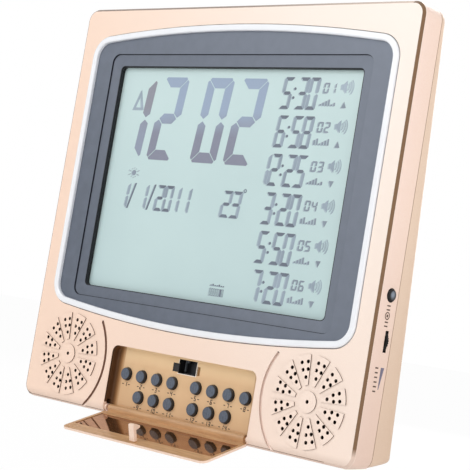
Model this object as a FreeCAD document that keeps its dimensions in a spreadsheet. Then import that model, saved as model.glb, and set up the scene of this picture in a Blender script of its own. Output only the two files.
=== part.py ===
import FreeCAD, Part
import math
import os
import Sketcher

"""Prayer-time clock for the wall, in millimetres.

The clock frame has X to the right, Y from the front face to the back and Z up from the lower edge.
Every sub-part is drawn in that frame and then placed so that the origin lies midway between the two
hanging keyholes, on the back of the case. The control panel's door is drawn open, as the clock rests.
"""

doc = FreeCAD.newDocument("clock")
sheet = doc.addObject("Spreadsheet::Sheet", "sizes")


# ---------------------------------------------------------------- sizes

SIZES = dict(
    # case
    case_width=235, case_height=223, case_corner=7, wall=2.2, parting_depth=15.3,
    depth_top=19.145, depth_bottom=31.4, edge_bevel=1.1, edge_bevel_depth=1.5,
    front_drop=1.4, rear_rise=4, bottom_round=4, rear_round=3, rear_wall=2, part_line_gap=0.15,
    # hanging keyholes in the back
    hang_height=208, hang_spacing=120, keyhole_radius=4, keyhole_slot_width=4.2, keyhole_rise=6,
    # display window: trim ring, bezel, gasket, liquid crystal cell
    ring_margin=10.5, ring_low=47.5, ring_high=212.6, ring_bow=783.5, ring_corner=12.5,
    ring_width=3.5, ring_height=2.2, ring_seat=1, ring_round=0.9, ring_gap=0.35,
    bezel_face=0.8, bezel_plate=2.4, bezel_flange=2.5, bezel_flange_depth=1.4,
    step_margin=15.3, step_low=59.3, step_high=196.8, step_corner=5, step_depth=0.8,
    window_margin=6.4, window_low=65.7, window_high=189.9, window_corner=2.5,
    window_edge_depth=2.8, gasket_width=3.2, glass_face=5.6, glass_thick=2, glass_margin=4.2,
    glass_ledge=3.4, guide_gap=0.2, guide_thick=3, strip_height=2.4, strip_inset=9,
    board_thick=1.6, display_board_depth=11.2, board_margin=3, board_post_radius=3,
    board_post_inset=7, controller_radius=9, controller_height=1.8,
    capacitor_radius=3.2, capacitor_length=5.2, capacitor_pitch=9,
    # speakers and their grilles
    grille_margin=31.7, grille_height=26.1, wedge_count=12, wedge_inner=8, wedge_outer=22.8,
    wedge_apex=3.6, wedge_lean=11.7, wedge_proud=0.6, hole_radius=0.95, hole_ring_inner=11.95,
    hole_ring_middle=15.67, hole_ring_outer=19.3, hole_spread_middle=1.56, hole_spread_outer=1.89,
    hub_radius=5.3, arc_shift=6.3, arc_radius=35.7, arc_width=1.7, arc_depth=1.2, arc_top_angle=35,
    speaker_radius=22.5, speaker_rim=1, speaker_gap=0.2, basket_radius=14, basket_depth=9,
    magnet_radius=11, magnet_depth=5, cone_throat=7, cone_depth=5, sheet_metal=0.8,
    speaker_post_reach=24.6, speaker_post_radius=1.9, speaker_screw_head=2.4,
    # control panel: tray, keys, latch
    panel_margin=34, panel_top=35.7, panel_corner=4, panel_floor=5.4, tray_wall=1.5,
    tray_flange=8, tray_cove=1.2, tray_gap=0.2, tray_post_reach=5.2, tray_post_inset=9,
    key_radius=3.3, key_face=3.3, key_round=0.7, key_flange=0.85, key_flange_thick=0.6,
    key_flange_gap=0.2, key_hole_gap=0.3, key_travel=0.8, key_edge=8.99, middle_gap_pitches=1.5,
    upper_row=21.3, lower_row=10.1, upper_keys=4, lower_keys=3,
    mat_thick=0.9, mat_gap=0.2, key_board_gap=0.1, key_board_thick=1.2, key_board_inset=1.6,
    key_board_post_inset=3.8, key_mat_inset=7.6,
    latch_half_width=6.4, latch_low=27.1, latch_high=35.4, latch_notch_height=4.6,
    latch_notch_rise=0.5, latch_notch_left=4.1, latch_notch_right=2.6, latch_notch_depth=0.8,
    catch_wall=1, catch_depth=4.9, catch_back=0.5, catch_tongue=0.6,
    # door of the control panel
    pin_depth=2.76, pin_height=1.9, pin_radius=0.75, pin_gap=0.05, pin_length=9, pin_seat=2.4,
    barrel_radius=1.95, barrel_inset=3, lug_thick=1.4, lug_radius=1.85, lug_root=3.2,
    door_gap=0.5, door_thick=1.2, door_corner=3.5, door_open_angle=108.9, door_gloss_inset=2.5,
    door_gloss_low=7.6, door_gloss_high=27.4, door_gloss_corner=1, door_gloss_depth=0.3,
    hook_half_width=1.8, hook_low=31.3, hook_high=33.1, hook_length=9.2, hook_head=2.9,
    hook_head_thick=3.2, hook_round=0.7, barrel_clearance=0.4,
    # stop button and volume wheel in the right wall
    side_depth=9.3, stop_above_wheel=22, stop_radius=3, stop_hole_gap=0.45, stop_proud=1.1, stop_dome=0.9,
    stop_flange=1, stop_flange_thick=1.2, stop_flange_gap=0.3, stop_travel=0.7, stop_inset=5.6,
    plunger_radius=1.1, plunger_gap=0.1, switch_size=6, switch_thick=3.5,
    wheel_depth=10.7, wheel_height=60.5, wheel_radius=7, wheel_thick=1.9, wheel_proud=1,
    wheel_slot_length=10.4, wheel_slot_width=2.5, wheel_relief_length=13.4, wheel_relief_skin=1,
    wheel_relief_width=3.4, wheel_notches=36, wheel_notch_radius=0.25, wheel_shaft_radius=1.5,
    wheel_shaft_gap=0.05, pot_radius=3.5, pot_gap=0.25, side_board_depth=13, side_board_inner=17.5,
    side_board_outer=4.8, side_board_below=10.5, side_board_above=11, side_post_inset=7.1,
    side_post_below=10.1, side_post_above=8.5, side_post_radius=1.9,
    # case screws
    boss_inset=6.1, boss_low=9, boss_middle=120, boss_high=215.4, boss_radius=3, boss_depth=13,
    boss_gap=0.3, screw_bore=1.15, screw_radius=1.1, screw_head_radius=2.3, screw_head=1.6,
    rear_boss_radius=3.4, head_well_gap=0.35, boss_web=2,
    small_screw_radius=0.75, small_screw_bore=0.8, small_screw_head=1.1, flat_screw_head=0.5,
    # battery bay in the back
    cell_radius=7.1, cell_length=50, cell_nub_radius=2.7, cell_nub=1, cell_gap=0.35, cell_count=3,
    bay_speaker_gap=1.3, bay_half_width=30, bay_low=9.5, bay_floor=12.4, bay_wall=1.2,
    battery_door_thick=1.8, battery_door_lip=2.2, battery_door_gap=0.3, battery_door_step=1.9,
    battery_door_tongue=1, door_tab_width=12, contact_thick=0.4, contact_width=9, contact_bump=2.4,
)


class Size:
    """A length with the expression that gives it from the sheet, so each formula is written once."""

    def __init__(self, value, text):
        self.value = value
        self.text = text

    def _join(self, other, sign, value):
        return Size(value, f"({self.text} {sign} {size(other).text})")

    def __add__(self, other):
        return self._join(other, "+", self.value + size(other).value)

    def __sub__(self, other):
        return self._join(other, "-", self.value - size(other).value)

    def __mul__(self, other):
        return self._join(other, "*", self.value * size(other).value)

    def __truediv__(self, other):
        return self._join(other, "/", self.value / size(other).value)

    def __neg__(self):
        return size(0) - self

    def __radd__(self, other):
        return size(other) + self

    def __rsub__(self, other):
        return size(other) - self

    def __rmul__(self, other):
        return size(other) * self


def size(number):
    return number if isinstance(number, Size) else Size(float(number), f"({number!r})")


def root(length):
    return Size(math.sqrt(length.value), f"sqrt({length.text})")


def sine(degrees):
    degrees = size(degrees)
    return Size(math.sin(math.radians(degrees.value)), f"sin({degrees.text} * 1 deg)")


def cosine(degrees):
    degrees = size(degrees)
    return Size(math.cos(math.radians(degrees.value)), f"cos({degrees.text} * 1 deg)")


def arc_sine(ratio):
    """The angle in degrees that has this sine."""
    return Size(math.degrees(math.asin(ratio.value)), f"(asin({ratio.text}) / 1 deg)")


def fill_sheet():
    for row, (name, value) in enumerate(SIZES.items(), start=1):
        sheet.set(f"A{row}", name)
        sheet.set(f"B{row}", str(value))
        sheet.setAlias(f"B{row}", name)
    doc.recompute()


class Sizes:
    """Reads a named cell of the sheet as a Size."""

    def __getattr__(self, name):
        return Size(float(sheet.get(name)), f"sizes.{name}")


fill_sheet()
s = Sizes()

half_width = s.case_width / 2
ring_half_width = half_width - s.ring_margin
step_half_width = ring_half_width - s.step_margin
window_half_width = step_half_width - s.window_margin
grille_offset = half_width - s.grille_margin
panel_half_width = grille_offset - s.panel_margin
key_pitch = (panel_half_width - s.key_edge) / (s.upper_keys - 1 + s.middle_gap_pitches / 2)
key_middle = key_pitch * s.middle_gap_pitches / 2
key_board_half_width = panel_half_width - s.key_board_inset
bay_centre = s.basket_radius + s.bay_speaker_gap + s.bay_half_width - grille_offset
stop_height = s.wheel_height + s.stop_above_wheel
stop_inner = half_width - s.stop_inset
slope = (s.depth_bottom - s.depth_top) / s.case_height
underside_end = s.depth_bottom + s.wall
window_back = s.glass_face + s.glass_thick


def back_at(height):
    """Depth of the sloping back at a height above the lower edge."""
    return s.depth_bottom - slope * height


hang_depth = back_at(s.hang_height)


# ---------------------------------------------------------------- drawing helpers

def bind(item, prop, length):
    item.setExpression(prop, size(length).text)


def settle(item, x=0, y=0, z=0):
    """Puts a sub-part in the row frame, shifted by x, y, z in the clock frame."""
    bind(item, "Placement.Base.x", size(x))
    bind(item, "Placement.Base.y", size(y) - hang_depth)
    bind(item, "Placement.Base.z", size(z) - s.hang_height)
    return item


def new_body(label):
    body = doc.addObject("PartDesign::Body", label)
    body.Label = label
    return body


class Outline:
    """A sketch on one of a body's own origin planes, every point tied to the sheet."""

    def __init__(self, body, plane, offset=0):
        self.body = body
        self.sketch = body.newObject("Sketcher::SketchObject", body.Label + "_outline")
        self.ties = []
        origin = [f for f in body.Origin.OriginFeatures if f.Role == plane][0]
        self.sketch.AttachmentSupport = [(origin, "")]
        self.sketch.MapMode = "FlatFace"
        bind(self.sketch, "AttachmentOffset.Base.z", offset)

    def tie(self, kind, *items):
        length = size(items[-1])
        index = self.sketch.addConstraint(Sketcher.Constraint(kind, *items[:-1], length.value))
        self.ties.append((index, length))

    def relate(self, kind, *items):
        self.sketch.addConstraint(Sketcher.Constraint(kind, *items))

    def pin(self, shape, point, x, y):
        self.tie("DistanceX", -1, 1, shape, point, x)
        self.tie("DistanceY", -1, 1, shape, point, y)

    def done(self):
        for index, length in self.ties:
            self.sketch.setExpression(f"Constraints[{index}]", length.text)
        doc.recompute()
        return self

    def circle(self, x, y, radius):
        x, y, radius = size(x), size(y), size(radius)
        centre = FreeCAD.Vector(x.value, y.value, 0)
        shape = self.sketch.addGeometry(Part.Circle(centre, FreeCAD.Vector(0, 0, 1), radius.value))
        self.pin(shape, 3, x, y)
        self.tie("Radius", shape, radius)
        return self

    def polygon(self, *corners):
        """Straight sides through the corners, each corner tied."""
        corners = [(size(x), size(y)) for x, y in corners]
        points = [FreeCAD.Vector(x.value, y.value, 0) for x, y in corners]
        count = len(points)
        first = None
        for i in range(count):
            line = self.sketch.addGeometry(Part.LineSegment(points[i], points[(i + 1) % count]))
            first = line if first is None else first
        for i in range(count):
            self.relate("Coincident", first + i, 2, first + (i + 1) % count, 1)
            self.pin(first + i, 1, *corners[i])
        return self

    def box(self, left, right, low, high):
        return self.polygon((left, low), (right, low), (right, high), (left, high))

    def _arc(self, x, y, radius, start, stop):
        centre = FreeCAD.Vector(x.value, y.value, 0)
        circle = Part.Circle(centre, FreeCAD.Vector(0, 0, 1), radius.value)
        return self.sketch.addGeometry(Part.ArcOfCircle(circle, math.radians(start), math.radians(stop)))

    def _side(self, arc, arc_point, other, other_point):
        """A line from the end of one arc to the start of the next, tangent to both."""
        line = self.sketch.addGeometry(Part.LineSegment(
            self.sketch.getPoint(arc, arc_point), self.sketch.getPoint(other, other_point)))
        self.relate("Tangent", arc, arc_point, line, 1)
        self.relate("Tangent", line, 2, other, other_point)

    def rounded(self, left, right, low, high, radius):
        """A rectangle with rounded corners."""
        left, right, low, high, radius = [size(v) for v in (left, right, low, high, radius)]
        places = [(right - radius, high - radius, 0), (left + radius, high - radius, 90),
                  (left + radius, low + radius, 180), (right - radius, low + radius, 270)]
        arcs = [self._arc(x, y, radius, turn, turn + 90) for x, y, turn in places]
        for arc, (x, y, _) in zip(arcs, places):
            self.pin(arc, 3, x, y)
            self.tie("Radius", arc, radius)
        for i in range(4):
            self._side(arcs[i], 2, arcs[(i + 1) % 4], 1)
        return self

    def bowed(self, half, low, high, bow, radius):
        """Upright sides, a top and a bottom that bow outwards, and rounded corners."""
        half, low, high, bow, radius = [size(v) for v in (half, low, high, bow, radius)]
        across = half - radius
        rise = root((bow - radius) * (bow - radius) - across * across)
        lean = math.degrees(math.asin(across.value / (bow - radius).value))
        top_y = high - bow + rise
        low_y = low + bow - rise
        top = self._arc(size(0), high - bow, bow, 90 - lean, 90 + lean)
        bottom = self._arc(size(0), low + bow, bow, 270 - lean, 270 + lean)
        right_top = self._arc(across, top_y, radius, 0, 90 - lean)
        left_top = self._arc(-across, top_y, radius, 90 + lean, 180)
        left_low = self._arc(-across, low_y, radius, 180, 270 - lean)
        right_low = self._arc(across, low_y, radius, 270 + lean, 360)
        for arc, y in ((top, high - bow), (bottom, low + bow)):
            self.pin(arc, 3, 0, y)
            self.tie("Radius", arc, bow)
        for corner, x in ((right_top, across), (left_top, -across), (left_low, -across), (right_low, across)):
            self.tie("DistanceX", -1, 1, corner, 3, x)
            self.tie("Radius", corner, radius)
        self.relate("Tangent", right_top, 2, top, 1)
        self.relate("Tangent", top, 2, left_top, 1)
        self.relate("Tangent", left_low, 2, bottom, 1)
        self.relate("Tangent", bottom, 2, right_low, 1)
        self._side(left_top, 2, left_low, 1)
        self._side(right_low, 2, right_top, 1)
        return self


def on_face(body, depth=0):
    """A sketch parallel to the front face, at a depth behind it."""
    return Outline(body, "XZ_Plane", -size(depth))


def on_side(body, across=0):
    """A sketch parallel to the side walls: its x runs back and its y up."""
    return Outline(body, "YZ_Plane", across)


def add(body, outline, length, backwards=True, both=False):
    """Pads a sketch. Sketches on the face are padded towards the back unless told otherwise."""
    outline.done()
    pad = body.newObject("PartDesign::Pad", body.Label + "_pad")
    pad.Profile = outline.sketch
    bind(pad, "Length", length)
    pad.Midplane = both
    pad.Reversed = backwards and not both
    doc.recompute()
    return pad


def cut(body, outline, length=None, forwards=False, both=False):
    """Pockets a sketch, and stops if nothing was removed. No length cuts through everything."""
    before = body.Shape.Volume
    outline.done()
    pocket = body.newObject("PartDesign::Pocket", body.Label + "_pocket")
    pocket.Profile = outline.sketch
    if length is None:
        pocket.Type = "ThroughAll"
    else:
        bind(pocket, "Length", length)
    pocket.Midplane = both
    pocket.Reversed = forwards
    doc.recompute()
    if body.Shape.Volume > before - 1e-6:
        raise RuntimeError(f"{body.Label}: a pocket removed nothing")
    return pocket


def round_edges(body, radius, chosen):
    """Fillets the edges of the body's last feature that the test picks."""
    return _dress(body, "PartDesign::Fillet", chosen, Radius=radius)


def _dress(body, kind, chosen, **lengths):
    base = body.Tip
    names = [f"Edge{i}" for i, edge in enumerate(base.Shape.Edges, start=1) if chosen(edge)]
    if not names:
        raise RuntimeError(f"{body.Label}: no edge to dress")
    feature = body.newObject(kind, body.Label + "_edges")
    feature.Base = (base, names)
    for prop, length in lengths.items():
        bind(feature, prop, length)
    doc.recompute()
    return feature


def lies_at(depth, tolerance=1e-4):
    """Picks the edges that lie wholly at one depth."""
    depth = size(depth).value

    def chosen(edge):
        box = edge.BoundBox
        return abs(box.YMin - depth) < tolerance and abs(box.YMax - depth) < tolerance
    return chosen


def block(name, left, right, front, back, low, high):
    """A plain box between two opposite corners of the clock frame."""
    item = doc.addObject("Part::Box", name)
    bind(item, "Length", size(right) - left)
    bind(item, "Width", size(back) - front)
    bind(item, "Height", size(high) - low)
    return settle(item, left, front, low)


TURNS = {"x": ((0, 1, 0), 90), "y": ((1, 0, 0), -90), "z": ((0, 0, 1), 0)}


def rod(name, x, y, z, radius, length, along="y", tip_radius=None):
    """A round bar, or a cone where a tip radius is given, that starts at a point and runs along an axis."""
    item = doc.addObject("Part::Cylinder" if tip_radius is None else "Part::Cone", name)
    if tip_radius is None:
        bind(item, "Radius", radius)
    else:
        bind(item, "Radius1", radius)
        bind(item, "Radius2", tip_radius)
    bind(item, "Height", length)
    axis, angle = TURNS[along]
    item.Placement.Rotation = FreeCAD.Rotation(FreeCAD.Vector(*axis), angle)
    return settle(item, x, y, z)


def join(name, *pieces):
    item = doc.addObject("Part::MultiFuse", name)
    item.Shapes = list(pieces)
    return item


def subtract(name, base, *tools):
    item = doc.addObject("Part::Cut", name)
    item.Base = base
    item.Tool = tools[0] if len(tools) == 1 else join(name + "_tools", *tools)
    return item


def group(label, *pieces):
    """Several separate solids that share one node."""
    item = doc.addObject("Part::Compound", label)
    item.Links = list(pieces)
    item.Label = label
    return item


def named(item, label):
    item.Label = label
    return item


def screw(name, x, z, seat, length, radius, head_radius, head):
    """A pan-head screw driven forwards: the head's underside lies on the seat's depth."""
    shank = rod(name + "_shank", x, size(seat) - length, z, radius, length)
    top = rod(name + "_head", x, seat, z, head_radius, head)
    return join(name, shank, top)


def sides():
    return (-1, 1)


# ---------------------------------------------------------------- places shared by several sub-parts

def case_boss_places():
    return [(side * (half_width - s.boss_inset), height) for side in sides()
            for height in (s.boss_low, s.boss_middle, s.boss_high)]


def speaker_post_places():
    """Three posts round each speaker, clear of the bezel, the tray and the walls."""
    return [(side * (grille_offset + s.speaker_post_reach * cosine(turn)),
             s.grille_height + s.speaker_post_reach * sine(turn))
            for side in sides() for turn in (0, 120, 240)]


def tray_post_places():
    return [(side * (panel_half_width + s.tray_post_reach), s.grille_height + rise * s.tray_post_inset)
            for side in sides() for rise in (-1, 1)]


def side_post_places():
    across = half_width - s.side_post_inset
    return [(across, stop_height - s.side_post_below), (across, stop_height + s.side_post_above)]


def board_post_places():
    across = window_half_width + s.glass_margin + s.board_post_inset
    return [(side * across, height) for side in sides()
            for height in (s.window_low - s.glass_margin, s.window_high + s.glass_margin)]


def key_places():
    """Name, x and z of each key: a long upper row and a short lower row, open in the middle."""
    rows = (("upper", s.upper_row, s.upper_keys), ("lower", s.lower_row, s.lower_keys))
    places = []
    for row, height, per_side in rows:
        count = int(per_side.value)
        for i in range(2 * count):
            step = i - count if i >= count else count - 1 - i
            side = 1 if i >= count else -1
            places.append((f"key_{row}_{i + 1}", side * (key_middle + key_pitch * step), height))
    return places


tray_back = s.panel_floor + s.tray_wall
key_back = tray_back + s.key_flange_gap + s.key_flange_thick
key_board_front = key_back + s.key_travel + s.key_board_gap
mat_front = key_board_front - s.mat_thick
ring_inner = dict(half=ring_half_width - s.ring_width, low=s.ring_low + s.ring_width,
                  high=s.ring_high - s.ring_width, bow=s.ring_bow - s.ring_width,
                  radius=s.ring_corner - s.ring_width)


def grown(outline, by):
    """The bowed window outline moved outwards by a distance."""
    return dict(half=outline["half"] + by, low=outline["low"] - by, high=outline["high"] + by,
                bow=outline["bow"] + by, radius=outline["radius"] + by)


# ---------------------------------------------------------------- case

def cut_grille(body, side):
    """Raised wedges round a hub, each pierced by five holes, and the curved groove beside them."""
    centre_x, centre_z = side * grille_offset, s.grille_height
    wedge = on_face(body, -s.wedge_proud)
    bind(wedge.sketch, "AttachmentOffset.Base.x", centre_x)
    bind(wedge.sketch, "AttachmentOffset.Base.y", centre_z)
    turn = size(360) / s.wedge_count / 2
    draw_wedge(wedge, turn)
    plateau = add(body, wedge, s.wedge_proud)
    ring_pattern(body, plateau, wedge, s.wedge_count)
    hub = on_face(body, -s.wedge_proud).circle(centre_x, centre_z, s.hub_radius)
    add(body, hub, s.wedge_proud)
    holes = on_face(body, -s.wedge_proud)
    bind(holes.sketch, "AttachmentOffset.Base.x", centre_x)
    bind(holes.sketch, "AttachmentOffset.Base.y", centre_z)
    for reach, spreads in ((s.hole_ring_inner, (0,)), (s.hole_ring_middle, (-1, 1)),
                           (s.hole_ring_outer, (-1, 1))):
        spread = s.hole_spread_middle if reach.text.endswith("middle") else s.hole_spread_outer
        for way in spreads:
            aside = way * spread
            holes.circle(reach * cosine(turn) - aside * sine(turn),
                         reach * sine(turn) + aside * cosine(turn), s.hole_radius)
    pierced = cut(body, holes, s.wall + s.wedge_proud)
    ring_pattern(body, pierced, holes, s.wedge_count)
    cut(body, on_face(body, -s.wedge_proud).circle(centre_x, centre_z, s.hole_radius),
        s.wall + s.wedge_proud)
    groove = on_face(body)
    draw_groove(groove, side)
    cut(body, groove, s.arc_depth)


def draw_wedge(outline, turn):
    """A wedge between two radii, on a spoke at the given turn. Its sides meet short of the hub's centre."""
    arcs = []
    for radius in (s.wedge_inner, s.wedge_outer):
        half = s.wedge_lean - arc_sine(s.wedge_apex * sine(s.wedge_lean) / radius)
        low, high = turn - half, turn + half
        arc = outline._arc(size(0), size(0), radius, low.value, high.value)
        outline.relate("Coincident", arc, 3, -1, 1)
        outline.pin(arc, 1, radius * cosine(low), radius * sine(low))
        outline.tie("DistanceX", -1, 1, arc, 2, radius * cosine(high))
        arcs.append(arc)
    for end in (1, 2):
        line = outline.sketch.addGeometry(Part.LineSegment(
            outline.sketch.getPoint(arcs[0], end), outline.sketch.getPoint(arcs[1], end)))
        outline.relate("Coincident", line, 1, arcs[0], end)
        outline.relate("Coincident", line, 2, arcs[1], end)


def draw_groove(outline, side):
    """A curved slot with a round upper end that runs out through the lower edge of the case."""
    x, z = side * (grille_offset + s.arc_shift), s.grille_height
    inner, outer = s.arc_radius - s.arc_width / 2, s.arc_radius + s.arc_width / 2
    top = s.arc_top_angle
    low = arc_sine((z + s.wall) / inner)
    ends = (180 - top.value, 180 + low.value) if side > 0 else (360 - low.value, 360 + top.value)
    arcs = [outline._arc(x, z, r, *ends) for r in (inner, outer)]
    upper, lower = (1, 2) if side > 0 else (2, 1)
    for arc, radius in zip(arcs, (inner, outer)):
        outline.pin(arc, 3, x, z)
        outline.pin(arc, upper, x - side * radius * cosine(top), z + radius * sine(top))
        outline.tie("DistanceY", -1, 1, arc, lower, z - radius * sine(low))
    line = outline.sketch.addGeometry(Part.LineSegment(
        outline.sketch.getPoint(arcs[0], lower), outline.sketch.getPoint(arcs[1], lower)))
    outline.relate("Coincident", line, 1, arcs[0], lower)
    outline.relate("Coincident", line, 2, arcs[1], lower)
    cap_x, cap_z = x - side * s.arc_radius * cosine(top), z + s.arc_radius * sine(top)
    lean = 180 - top.value if side > 0 else top.value
    start = lean - 180 if side > 0 else lean
    cap = outline._arc(cap_x, cap_z, s.arc_width / 2, start, start + 180)
    first, second = (arcs[0], arcs[1]) if side > 0 else (arcs[1], arcs[0])
    outline.relate("Coincident", cap, 1, first, upper)
    outline.relate("Coincident", cap, 2, second, upper)
    outline.tie("DistanceX", -1, 1, cap, 3, cap_x)


def ring_pattern(body, feature, outline, count):
    """Repeats a feature round the origin of its own sketch."""
    pattern = body.newObject("PartDesign::PolarPattern", body.Label + "_ring")
    pattern.Originals = [feature]
    pattern.Axis = (outline.sketch, ["N_Axis"])
    pattern.Angle = 360
    bind(pattern, "Occurrences", count)
    body.Tip = pattern
    doc.recompute()
    return pattern


def case_outline():
    """The outer edge of the case, as deep as the lip of the front half."""
    return dict(left=-half_width, right=half_width, low=-s.front_drop, high=s.case_height,
                radius=s.case_corner)


def bevelled_shell(body):
    """The front half of the case: bevelled face, round lower edge, hollow from behind."""
    add(body, on_face(body).rounded(**case_outline()), s.parting_depth - s.part_line_gap)
    bevel = _dress(body, "PartDesign::Chamfer", lies_at(0), Size=s.edge_bevel)
    bevel.ChamferType = "Two distances"
    bind(bevel, "Size2", s.edge_bevel_depth)
    doc.recompute()
    if not _is_bevel_right(body):
        bevel.FlipDirection = True
        doc.recompute()
    r = s.bottom_round
    low = -s.front_drop
    corner = on_side(body)
    cap = corner.sketch.addGeometry(Part.ArcOfCircle(Part.Circle(
        FreeCAD.Vector(r.value, (low + r).value, 0), FreeCAD.Vector(0, 0, 1), r.value),
        math.pi, 1.5 * math.pi))
    corner.pin(cap, 3, r, low + r)
    corner.pin(cap, 1, 0, low + r)
    corner.tie("DistanceX", -1, 1, cap, 2, r)
    lip = FreeCAD.Vector(0, low.value, 0)
    down = corner.sketch.addGeometry(Part.LineSegment(FreeCAD.Vector(0, (low + r).value, 0), lip))
    across = corner.sketch.addGeometry(Part.LineSegment(lip, FreeCAD.Vector(r.value, low.value, 0)))
    corner.relate("Coincident", down, 1, cap, 1)
    corner.pin(down, 2, 0, low)
    corner.relate("Coincident", across, 1, down, 2)
    corner.relate("Coincident", across, 2, cap, 2)
    cut(body, corner, both=True)
    cut(body, on_side(body).polygon((r, low), (s.parting_depth, low), (s.parting_depth, 0)), both=True)
    cut(body, on_face(body, s.wall).rounded(
        -half_width + s.wall, half_width - s.wall, s.wall, s.case_height - s.wall, s.case_corner - s.wall))


def _is_bevel_right(body):
    """True when the bevel takes its larger leg out of the depth, which leaves the wider face."""
    faces = [f for f in body.Shape.Faces if abs(f.BoundBox.YMax) < 1e-4]
    widest = max(f.BoundBox.XLength for f in faces)
    return abs(widest - (s.case_width - 2 * s.edge_bevel).value) < 1e-3


def front_case():
    body = new_body("front_case")
    bevelled_shell(body)
    posts = on_face(body, s.wall)
    for x, z in case_boss_places():
        posts.circle(x, z, s.boss_radius)
    add(body, posts, s.boss_depth - s.wall)
    rim_back = s.wall + s.speaker_gap + s.speaker_rim
    tray_front = s.panel_floor - s.part_line_gap
    for places, radius, reach in ((speaker_post_places(), s.speaker_post_radius, rim_back),
                                  (tray_post_places(), s.speaker_post_radius, tray_front),
                                  (side_post_places(), s.side_post_radius, s.side_board_depth)):
        posts = on_face(body, s.wall)
        for x, z in places:
            posts.circle(x, z, radius)
        add(body, posts, reach - s.wall)
    cut(body, on_face(body).bowed(**grown(ring_inner, s.ring_gap)), s.wall + s.ring_seat)
    cut(body, on_face(body).bowed(
        ring_half_width + s.ring_gap, s.ring_low - s.ring_gap, s.ring_high + s.ring_gap,
        s.ring_bow + s.ring_gap, s.ring_corner + s.ring_gap), s.ring_seat)
    cut_panel_opening(body)
    cut_side_controls(body)
    bores = on_face(body, s.boss_web + s.wall)
    for x, z in case_boss_places():
        bores.circle(x, z, s.screw_bore)
    cut(body, bores)
    bores = on_face(body, s.wall)
    for x, z in speaker_post_places() + tray_post_places() + side_post_places():
        bores.circle(x, z, s.small_screw_bore)
    cut(body, bores)
    for side in sides():
        cut_grille(body, side)
    return settle(body)


def cut_panel_opening(body):
    """The control panel's opening, open at the lower edge, with room for the door's barrel."""
    opening = on_face(body).rounded(
        -panel_half_width, panel_half_width, -s.panel_top, s.panel_top, s.panel_corner)
    cut(body, opening, s.wall)
    inner = panel_half_width - s.lug_thick - s.tray_gap
    cut(body, on_face(body).box(-inner, inner, -s.panel_top, s.wall), 2 * s.pin_depth + s.barrel_clearance)
    length = s.lug_thick + s.lug_root
    for start in (panel_half_width - s.lug_thick, -panel_half_width - s.lug_root):
        add(body, on_side(body, start).circle(s.pin_depth, s.pin_height, s.lug_radius), length,
            backwards=False)
    for side in sides():
        bore = on_side(body, side * (panel_half_width + s.pin_seat))
        cut(body, bore.circle(s.pin_depth, s.pin_height, s.pin_radius), s.pin_length, forwards=side < 0)


def cut_side_controls(body):
    """Round hole of the stop button and the slot of the volume wheel, in the right wall."""
    cut(body, on_side(body, half_width).circle(
        s.side_depth, stop_height, s.stop_radius + s.stop_hole_gap), s.wall + s.edge_bevel)
    length, width = s.wheel_slot_length / 2, s.wheel_slot_width / 2
    cut(body, on_side(body, half_width).box(
        s.wheel_depth - width, s.wheel_depth + width, s.wheel_height - length, s.wheel_height + length),
        s.wall + s.edge_bevel)
    length, width = s.wheel_relief_length / 2, s.wheel_relief_width / 2
    cut(body, on_side(body, half_width - s.wheel_relief_skin).box(
        s.wheel_depth - width, s.wheel_depth + width, s.wheel_height - length, s.wheel_height + length),
        s.wall)


def bay_top():
    return s.bay_low + s.cell_count * (2 * s.cell_radius + s.cell_gap)


def bay_sides():
    return bay_centre - s.bay_half_width, bay_centre + s.bay_half_width


def behind(body):
    """A side sketch of all that lies behind the sloping back."""
    reach = s.depth_bottom + s.parting_depth
    low, high = -s.case_corner, s.case_height + s.case_corner
    return on_side(body).polygon((back_at(low), low), (reach, low), (reach, high), (back_at(high), high))


def sloped_plate(body, near, far):
    """A side sketch of a strip along the sloping back, between two depths under its surface."""
    low, high = -s.case_corner, s.case_height + s.case_corner
    return on_side(body).polygon((back_at(low) - far, low), (back_at(low) - near, low),
                                 (back_at(high) - near, high), (back_at(high) - far, high))


def rear_case():
    body = new_body("rear_case")
    add(body, on_face(body, s.parting_depth).rounded(**case_outline()), s.depth_bottom - s.parting_depth)
    hollow = on_face(body, s.parting_depth).rounded(
        -half_width + s.rear_wall, half_width - s.rear_wall, s.rear_wall + s.rear_rise,
        s.case_height - s.rear_wall, s.case_corner - s.rear_wall)
    cut(body, hollow)
    add_bay_and_bosses(body)
    add(body, sloped_plate(body, 0, s.rear_wall), s.case_width, both=True)
    cut(body, behind(body), both=True)
    trim = on_face(body, s.bay_floor - s.bay_wall)
    trim.box(-half_width - s.wall, half_width + s.wall, -s.case_corner * 2,
             s.case_height + s.case_corner * 2)
    trim.rounded(**case_outline())
    cut(body, trim)
    cut(body, on_side(body).polygon(
        (s.parting_depth, -s.case_corner), (underside_end, -s.case_corner), (underside_end, s.rear_rise),
        (s.parting_depth, 0)), both=True)
    round_edges(body, s.rear_round, lambda edge: _on_rear_rim(edge) or _on_low_corner(edge))
    cut_bay(body)
    cut_keyholes(body)
    wells = on_face(body, s.boss_depth + s.boss_gap + s.boss_web)
    for x, z in case_boss_places():
        wells.circle(x, z, s.screw_head_radius + s.head_well_gap)
    cut(body, wells)
    bores = on_face(body, s.boss_depth)
    for x, z in case_boss_places():
        bores.circle(x, z, s.screw_bore + s.head_well_gap / 2)
    cut(body, bores)
    return settle(body)


def _on_rear_rim(edge):
    """Picks the edges where the outer walls meet the sloping back."""
    for vertex in edge.Vertexes:
        point = vertex.Point
        if abs(point.y - back_at(size(point.z)).value) > 1e-3:
            return False
    box = edge.BoundBox
    reach = half_width.value - s.case_corner.value - 1e-3
    near_side = max(abs(box.XMin), abs(box.XMax)) > reach
    return near_side and (abs(box.ZMin) < s.case_corner.value + 1e-3
                          or abs(box.ZMax) > s.case_height.value - s.case_corner.value - 1e-3
                          or box.ZLength > s.case_height.value / 2)


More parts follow.
